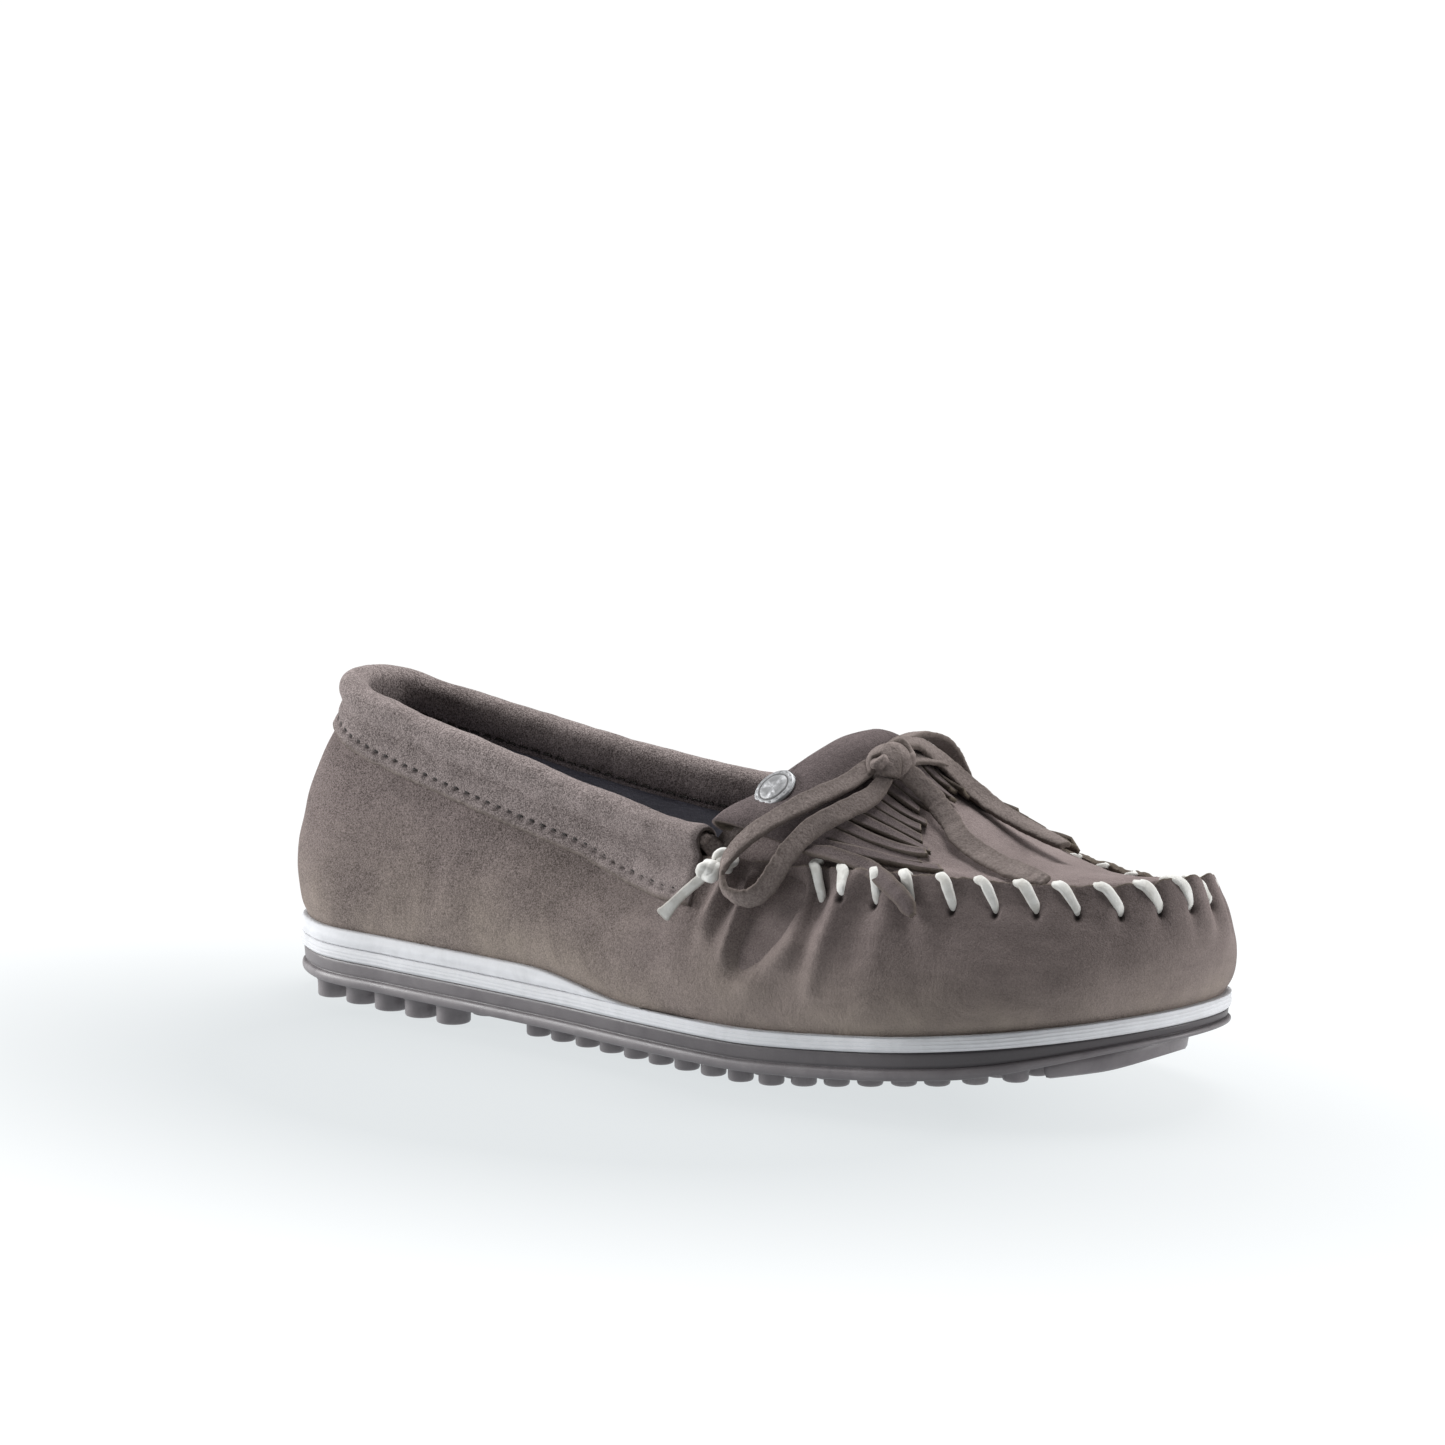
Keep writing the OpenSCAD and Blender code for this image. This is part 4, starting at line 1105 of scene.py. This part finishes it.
def stitch_row(line, size, seed):
    """Sunk stitches of the given length along a line."""
    fine = np.linspace(THROAT_INNER, THROAT_OUTER, 1400)
    run = run_along(line, fine)
    t = np.linspace(0, 1, 7)
    for k, start in enumerate(np.arange(FIRST_STITCH, run[-1] - 2.5, PITCH)):
        s = float(np.interp(start, run, fine))
        step = float(np.linalg.norm(line(s + 0.01) - line(s)))/0.01
        c = np.array([line(s + size/step*u) for u in t])
        sink = 0.3*(2*t - 1)**4
        c = c - sink[:, None]*unit(wall_normal(np.full(7, s), np.full(7, 0.9)))
        parts.append(tube(c, 0.28 + 0.03*math.sin(k*1.7 + seed), 8))


stitch_row(outer_line, 1.5, 0.0)
stitch_row(inner_line, 2.2, 2.0)
pts, faces, _ = join(parts)
make("collar_topstitching", pts, faces, mat_thread, "collar_thread")

centre = roll_centre(np.linspace(THROAT_INNER + 0.05, THROAT_OUTER - 0.03, 160))
pts, faces, _ = tube(centre, 1.85, 12)
make("lace_in_roll", pts, faces, mat_lace, "lace_tunnel")

# ---------------------------------------------------------------- the kiltie
STRIPS, GAP, EDGE_P = 22, 0.12, 0.9
FOLD_R, FOLD_MID = 2.8, 0.15
SUB = 6  # columns of points in a strip
FRONT_ROWS, CUT_FROM = 60, 0.47
strip_of = np.repeat(np.arange(STRIPS), SUB)
cols = (-1 + 2*(strip_of + np.tile(np.linspace(0, 1 - GAP, SUB), STRIPS))/STRIPS)*EDGE_P
u_in = (np.arange(len(cols)) % SUB)/(SUB - 1)*2 - 1
strip_rng = np.random.default_rng(21)
bend = strip_rng.normal(0, 1, (STRIPS, 6))
longer = strip_rng.uniform(-0.10, 0.08, STRIPS)


def narrow(t):
    """The kiltie is narrower at its folded edge than further on."""
    return 0.96 + 0.04*float(smooth(3*t))


def corner_lift(p):
    """The folded edge stands up a little where it meets the ends of the collar."""
    return 3.2*smooth((np.abs(p) - 0.62)/0.22)


def kiltie_surface(shrink):
    """Grid of the kiltie's outer (0) or inner (LEATHER) face; rows run from under the fold."""
    p = cols*narrow(0.0)
    r = FOLD_R - shrink
    rows = [over_plug(p, throat(p) + 0.3, FOLD_MID - FOLD_R + shrink),
            over_plug(p, throat(p) + 0.15, FOLD_MID - FOLD_R + shrink + 0.6*corner_lift(p))]
    for a in np.radians(np.linspace(-90, 90, 13)):
        rows.append(over_plug(p, throat(p) - r*math.cos(a)/25,
                              FOLD_MID + r*math.sin(a) + corner_lift(p)))
    b = bend[strip_of].T
    for k in range(1, FRONT_ROWS + 1):
        t = k/FRONT_ROWS
        p = cols*narrow(t)
        q = np.clip((t - CUT_FROM)/(1 - CUT_FROM), 0, 1)
        s = throat(p) + (fringe_end(p) + longer[strip_of]*q - throat(p))*t
        top = (FOLD_MID + FOLD_R)*(1 - smooth(t)) + (0.1 + LEATHER)*smooth(t)
        sway = 0.016*b[0]*q**1.5 + 0.008*b[1]*np.sin(q*3)
        lift = ((0.30 + 0.40*np.abs(b[2]))*q*(0.9 + 0.5*np.sin(q*4 + b[3]))
                + 0.55*np.maximum(0, b[4])*q**3)
        cup = 0.22*q*(u_in**2 - 0.4)*(0.6 + 0.6*b[5]) + q*u_in*(0.30*b[3] - 0.35)
        centre = np.repeat(p.reshape(STRIPS, SUB).mean(1), SUB)
        base_lift = 0.20*np.sin(p*9 + 1.3)*smooth(t*3) + 0.16*np.sin(p*17 + t*6)
        base_lift = base_lift + corner_lift(p)*(1 - smooth(t/0.45))
        rows.append(over_plug(centre + (p - centre)*(1 - 0.10*q) + sway, s,
                              top + lift + cup + base_lift - shrink*(1 - 0.15*q)))
    return np.array(rows)


outer, inner = kiltie_surface(0.0), kiltie_surface(LEATHER)
outer = outer + (0.16*cloud(outer, 8, 15.0))[..., None]*unit(outer - inner)
n_rows = outer.shape[0]
cut = n_rows - FRONT_ROWS + int(CUT_FROM*FRONT_ROWS)
present = np.ones((n_rows - 1, len(cols) - 1), bool)
present[cut:, strip_of[:-1] != strip_of[1:]] = False
pts, faces, used = slab(outer, inner, present)
t_row = np.clip((np.arange(n_rows) - cut)/(n_rows - cut), 0, 1)
edge_like = (np.abs(u_in)[None, :]**6)*(t_row[:, None] > 0)
rim_o = 0.5*edge_like
rim_o[-1] = 1
rim_a = np.concatenate([rim_o.ravel(), np.ones(rim_o.size)])[used]
# Painted shade: the fringe strips' sides, the ends of the slits and the whole underside are
# darkened.
fringe_side_shade = 0.25*edge_like
slit_end_shade = bell(np.arange(n_rows) - cut, 1.2)[:, None]*(np.abs(u_in)[None, :] > 0.9)
shade = np.concatenate([(fringe_side_shade + 0.5*slit_end_shade).ravel(), 0.5*np.ones(rim_o.size)])[used]
parts = [(pts, faces, rim_a, shade)]

# The lateral strip has turned away from the rest and hangs over the seam.
HANGING = [[167, -29.4, 54.6], [173.4, -30.6, 53.6], [178.2, -30.5, 53.4], [186.4, -29.8, 51.8],
           [192, -31.4, 50.4], [197, -33.4, 48.6], [201, -34.6, 46.6], [204.2, -35.6, 43.8]]
c = route(HANGING, 60)
t = np.linspace(0, 1, 61)
face = unit(np.column_stack([0*t + 0.1, np.interp(t, [0, 0.4, 0.7, 1], [-0.5, -0.7, -0.95, -1]),
                             np.interp(t, [0, 0.4, 0.7, 1], [1, 0.8, 0.45, 0.3])]))
w = np.interp(t, [0, 0.2, 0.7, 0.93, 1], [2.6, 3.4, 4.2, 3.9, 2.0])
pts, faces, edge = ribbon(c, face, w, 1.15, curl=0.35*np.sin(t*5), seed=5.5)
parts.append((pts, faces, 0.6*edge, 0.1*edge))
pts, faces, rim_a, shade = join(parts)
make("kiltie_fringed", pts, faces, mat_kiltie, "kiltie", {"rim": rim_a, "shade": shade})

# ---------------------------------------------------------------- the button
# A dome with a generic engraved pattern: one circle, six petals and a ring of dots.
BUTTON_P, BUTTON_S, BUTTON_R = -0.64, 6.86, 5.25
b_n = plug_normal(BUTTON_P, BUTTON_S)
b_o = over_plug(BUTTON_P, BUTTON_S, FOLD_MID + FOLD_R + 0.1)
b_u = unit(np.cross(b_n, [0.2, 1.0, 0.1]))
b_w = np.cross(b_n, b_u)
a = np.linspace(0, 2*math.pi, 96, endpoint=False)
radii = np.concatenate([np.linspace(0.05, 1.0, 34), [1.0, 0.985, 0.93, 0.8]])
rings, dark = [], []
for k, q in enumerate(radii):
    if k < 34:
        dome = 1.55 - 0.55*q**3
        circle = -0.16*bell(q - 0.70, 0.045)
        petals = 0.22*np.maximum(0, np.cos(3*a))**2*bell(q - 0.40, 0.15)
        dots = -0.20*np.maximum(0, np.cos(15*a))**4*bell(q - 0.84, 0.04)
        h = dome + circle + petals + dots + 0.03*np.sin(5*a + 9*q)
        if q > 0.93:
            h = h - 0.6*((q - 0.93)/0.07)**2
        dk = (bell(q - 0.70, 0.05)
              + 0.6*np.maximum(0, np.cos(15*a))**4*bell(q - 0.84, 0.05)
              + 0.35*bell(q - 0.40, 0.2)*(np.cos(3*a) < 0.2))
    else:
        h = np.full_like(a, [0.75, 0.3, 0.05, 0.0][k - 34])
        dk = np.full_like(a, 0.6)
    rings.append(b_o + BUTTON_R*q*(np.cos(a)[:, None]*b_u + np.sin(a)[:, None]*b_w)
                 + h[:, None]*b_n)
    dark.append(np.clip(dk, 0, 0.85))
pts, faces = stack(np.array(rings))
make("button_disc", pts, faces, mat_metal, "button",
     {"shade": np.array(dark).ravel()})

# ---------------------------------------------------------------- the flat lace
KNOT = np.array([177.5, -7.5, 70.8])
LOOP_OUTER = [[176.5, -8.5, 71], [174.5, -11, 69.8], [172.5, -17, 66.8], [168.5, -24, 63.8],
              [163.5, -30, 60], [159, -35, 55.8], [156, -38.5, 51], [156, -40.5, 47],
              [159, -42, 44], [164, -41.5, 43.3], [167.5, -40, 45.8], [169, -37, 50.2],
              [170, -33.5, 54.2], [172, -28.5, 58.3], [175.5, -23, 61.4], [178.5, -16, 64.3],
              [178.5, -11, 67.6]]
LOOP_INNER = [[176, -5, 72.5], [174.5, 0, 74.2], [174, 6, 75], [173.5, 12, 74.2],
              [173, 18, 72.2], [172, 23, 68.8], [170.5, 28, 64.5], [169.5, 32.5, 59.5],
              [170, 36, 54.5], [172.5, 38.5, 50.5], [176, 38.5, 49.5], [179, 36, 52],
              [180, 31.5, 55.5], [180, 26.5, 59.5], [180, 21, 63], [180, 15, 66.2],
              [180, 9, 69], [179, 3, 70.5], [178.5, -3, 70.8]]
TAIL_OUTER = [[179, -7.5, 70.3], [181.5, -6.5, 68.6], [184.5, -6, 66.4], [188.5, -6, 63.4],
              [191.5, -7, 61], [194.5, -8, 59.2], [199, -11, 56.8], [206, -13.5, 54.4],
              [214.5, -16.5, 52.8], [222.5, -18.2, 51.8], [226.8, -18.6, 51.2]]
TAIL_INNER = [[177, -5, 72.8], [176.5, -1.5, 74.2], [177.4, 3, 73.8], [179.2, 6.4, 71.2],
              [181.6, 8.6, 68.4], [184.6, 9.8, 65.6], [188.6, 10.2, 62.7], [194, 10, 59.9],
              [200.5, 9.8, 57.4], [207, 9.2, 55.6], [214, 7.2, 54.2]]


def faces_along(keys, n):
    """Directions for n points of a ribbon from (share of its length, direction) pairs."""
    t = np.linspace(0, 1, n)
    ks = [k[0] for k in keys]
    return unit(np.column_stack([np.interp(t, ks, [k[1][i] for k in keys]) for i in range(3)]))


def lace(name, points, keys, node, taper, seed, curl):
    """A free length of the flat lace that leaves the knot."""
    n = 12*len(points)
    c = route(points, n)
    t = np.linspace(0, 1, n + 1)
    w = LACE_W*np.interp(t, [0, 0.06, 0.9, 1], [0.8, 1, 1, taper])
    pts, faces, edge = ribbon(c, faces_along(keys, n + 1), w, LACE_T,
                              curl=curl*np.sin(t*7 + seed), seed=seed)
    obj = make(name, pts, faces, mat_lace, node,
               {"rim": 0.7*edge, "shade": 0.12*edge})


lace("bow_loop_near", LOOP_OUTER,
     [(0, (0.3, -0.45, 0.85)), (0.2, (0.42, -0.55, 0.7)), (0.34, (-0.1, -0.75, 0.6)),
      (0.43, (-0.75, -0.6, 0.1)), (0.5, (-0.35, -0.7, -0.6)), (0.58, (0.5, -0.75, -0.4)),
      (0.66, (0.75, -0.65, 0.05)), (0.78, (0.62, -0.6, 0.45)), (1, (0.5, -0.6, 0.6))],
     "bow_loop_outer", 0.8, 1.0, 0.25)
lace("bow_loop_far", LOOP_INNER,
     [(0, (0, 0, 1)), (0.3, (-0.3, 0.4, 0.9)), (0.46, (-0.8, 0.6, 0.2)), (0.53, (0.1, 0.7, -0.7)),
      (0.6, (0.8, 0.6, 0)), (0.75, (0.5, 0.5, 0.7)), (1, (0.4, 0, 0.9))],
     "bow_loop_inner", 0.8, 2.0, 0.25)
lace("bow_tail_near", TAIL_OUTER,
     [(0, (0.5, -0.7, 0.4)), (0.35, (0.25, -0.75, 0.5)), (0.6, (0.25, -0.75, 0.7)),
      (1, (0.2, -0.55, 0.9))],
     "bow_tail_outer", 0.75, 3.0, 0.3)
lace("bow_tail_far", TAIL_INNER,
     [(0, (0, 0, 1)), (0.3, (0.7, -0.1, 0.7)), (0.6, (0.4, -0.4, 0.8)), (1, (0.1, -0.1, 1))],
     "bow_tail_inner", 0.75, 4.0, 0.3)


def lead(name, side, end, node):
    """The lace from the front end of the roll, under the kiltie to the knot."""
    t = np.linspace(0, 1, 40)
    p = side*(0.97 + (0.18 - 0.97)*t)
    s = 6.5 + 1.1*smooth(t)
    under = over_plug(p, s, 0.1 + LACE_T/2)
    face = plug_normal(p, s)
    start = roll_centre(np.array([end]))[0]
    head = route([start, start*0.45 + under[0]*0.55 + 0.5*UP, under[0]], 10)[:-1]
    c = np.concatenate([head, under])
    f = np.concatenate([np.linspace(outward(end)*0.8 + UP, face[0], len(head)), face])
    w = np.interp(np.linspace(0, 1, len(c)), [0, 0.15, 1], [3.4, 4.8, 4.8])
    pts, faces, edge = ribbon(c, f, w, LACE_T, curl=0.2, seed=7.0 + side)
    make(name, pts, faces, mat_lace, node, {"rim": 0.7*edge, "shade": 0.3 + 0.2*edge})


lead("lace_lead_near", -1, THROAT_OUTER - 0.05, "lace_lead_outer")
lead("lace_lead_far", 1, THROAT_INNER + 0.05 + TURNS, "lace_lead_inner")

# The knot: a core of crossing lace with one turn of the lace pulled tight round it
axis = unit(np.array([0.12, 1.0, 0.30]))
e1 = unit(np.cross(axis, [0.2, 0, 1.0]))
e2 = np.cross(e1, axis)
a = np.linspace(0, 2*math.pi, 73)[:-1]
turns = KNOT + 0.6*axis + 3.7*(np.cos(a)[:, None]*e1*1.05 + np.sin(a)[:, None]*e2*0.95) \
    + 0.7*np.sin(a)[:, None]*axis
d = unit(np.roll(turns, -1, 0) - np.roll(turns, 1, 0))
out = unit(turns - KNOT - 0.6*axis)
across = unit(np.cross(d, out))
up = np.cross(across, d)
x, y = rounded(np.linspace(0, 2*math.pi, 20, endpoint=False), 2.3, 0.75, 0.45, 0.6)
rings = np.array([turns[i] + x[:, None]*across[i] + (y - 0.10*x*x)[:, None]*up[i]
                  for i in range(len(turns))])
rings += 0.18*cloud(rings, 1.6, 16.0)[..., None]*out[:, None]
parts = [(rings.reshape(-1, 3), grid_faces(*rings.shape[:2], True, True),
          np.tile(np.abs(x/2.3)**3, len(turns))),
         ball(KNOT - 1.5*axis, 3.2, (1.15, 1.3, 0.95), 3.0, 0.35),
         ball(KNOT + 2.6*axis, 3.0, (1.1, 1.2, 0.9), 4.0, 0.35)]
CROSSINGS = (
    ([[-2.2, -4.6, -1.8], [-2.8, -3.2, 1.4], [-0.4, -2.0, 3.0], [2.4, -2.6, 1.2],
      [2.8, -3.4, -2.0]], 0, 8.0),
    ([[-1.0, 2.2, -2.0], [-3.0, 3.8, 1.2], [0.2, 4.4, 3.6], [2.6, 3.6, 1.6],
      [1.8, 2.6, -2.0]], 2, 9.0))
for points, shift, seed in CROSSINGS:
    c = route(KNOT + np.array(points), 30)
    parts.append(ribbon(c, c - KNOT - shift*axis + 0.01, 4.0, 1.4, curl=-0.2, seed=seed))
pts, faces, edge = join(parts)
make("bow_knot_tied", pts, faces, mat_lace, "bow_knot",
     {"rim": 0.7*edge, "shade": 0.2*edge})

# ---------------------------------------------------------------- carried-over CAD nodes
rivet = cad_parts["button_rivet"]
rivet.data.materials.clear()
rivet.data.materials.append(mat_metal)

# ---------------------------------------------------------------- floor, light and camera
line = np.linspace(-1.6, 1.6, 24)
gx, gy = np.meshgrid(line, line, indexing="ij")
verts = np.column_stack([gx.ravel(), gy.ravel(), 0*gx.ravel() - 0.0002])
mesh = bpy.data.meshes.new("studio_floor")
mesh.from_pydata(verts.tolist(), [], grid_faces(len(line), len(line)))
floor = bpy.data.objects.new("studio_floor", mesh)
bpy.context.scene.collection.objects.link(floor)
# The floor glows, greyer round the shoe as a painted shadow, and is white behind it, as in a light
# tent.
m = Mat("studio_floor", Specular_IOR_Level=0.0, Roughness=0.9)
haze = m.noise(0.5, 2)
away = m.node("ShaderNodeVectorMath", 1, operation="DOT_PRODUCT", i0=m.coords,
              i1=(-0.6266, 0.7793, 0.0))
depth = m.maths("MULTIPLY_ADD", haze, 0.05, away)
back = m.remap(depth, 0.13, 0.24, 0.0, 1.0)
# Painted shadow: the glow is greyer inside an ellipse round the shoe.
squash = m.node("ShaderNodeVectorMath", operation="MULTIPLY_ADD", i0=m.coords,
                i1=(5.2, 8.0, 0.0), i2=(0.0, 0.45, 0.0))
span = m.node("ShaderNodeVectorMath", 1, operation="LENGTH", i0=squash)
near = m.mix(m.remap(span, 0.5, 1.3, 0.0, 1.0), (0.69, 0.72, 0.735, 1), (0.97, 0.99, 1.0, 1))
m.feed(m.bsdf.inputs["Emission Color"], m.mix(back, near, (1.02, 1.02, 1.02, 1)))
m.bsdf.inputs["Emission Strength"].default_value = 1.0
mesh.materials.append(m.done(m.mix(back, (0.06, 0.06, 0.06, 1), (0, 0, 0, 1))))

world = bpy.data.worlds.new("studio")
bpy.context.scene.world = world
world.use_nodes = True
back_node = world.node_tree.nodes["Background"]
back_node.inputs["Color"].default_value = (1, 1, 1, 1)
rays = world.node_tree.nodes.new("ShaderNodeLightPath")
level = world.node_tree.nodes.new("ShaderNodeMapRange")
level.inputs["To Min"].default_value = 0.15
level.inputs["To Max"].default_value = 1.02
world.node_tree.links.new(rays.outputs["Is Camera Ray"], level.inputs["Value"])
world.node_tree.links.new(level.outputs["Result"], back_node.inputs["Strength"])


def area(name, place, size, power):
    """A round soft light aimed at the shoe."""
    light = bpy.data.lights.new(name, "AREA")
    light.shape = "DISK"
    light.size, light.energy = size, power
    obj = bpy.data.objects.new(name, light)
    obj.location = place
    aim = Vector((0, 0, 0.04)) - Vector(place)
    obj.rotation_euler = aim.to_track_quat("-Z", "Y").to_euler()
    bpy.context.scene.collection.objects.link(obj)


area("key_heel_side", (-1.35, -0.6, 0.42), 0.8, 25)
area("overhead", (-0.1, 0.45, 1.25), 0.9, 22)
area("toe_side", (1.2, 0.6, 0.35), 0.7, 11)

cam_data = bpy.data.cameras.new("camera")
cam_data.lens, cam_data.sensor_width, cam_data.sensor_fit = 108.97, 36, "HORIZONTAL"
cam_data.clip_start, cam_data.clip_end = 0.01, 50
camera = bpy.data.objects.new("camera", cam_data)
look = Vector((-0.00314, 0.0001, 0.07406))
back_dir = Vector((0.6203, -0.7715, 0.1416)).normalized()
camera.location = look + 1.010*back_dir
camera.rotation_euler = back_dir.to_track_quat("Z", "Y").to_euler()
bpy.context.scene.collection.objects.link(camera)
bpy.context.scene.camera = camera
bpy.context.scene.view_settings.view_transform = "Standard"
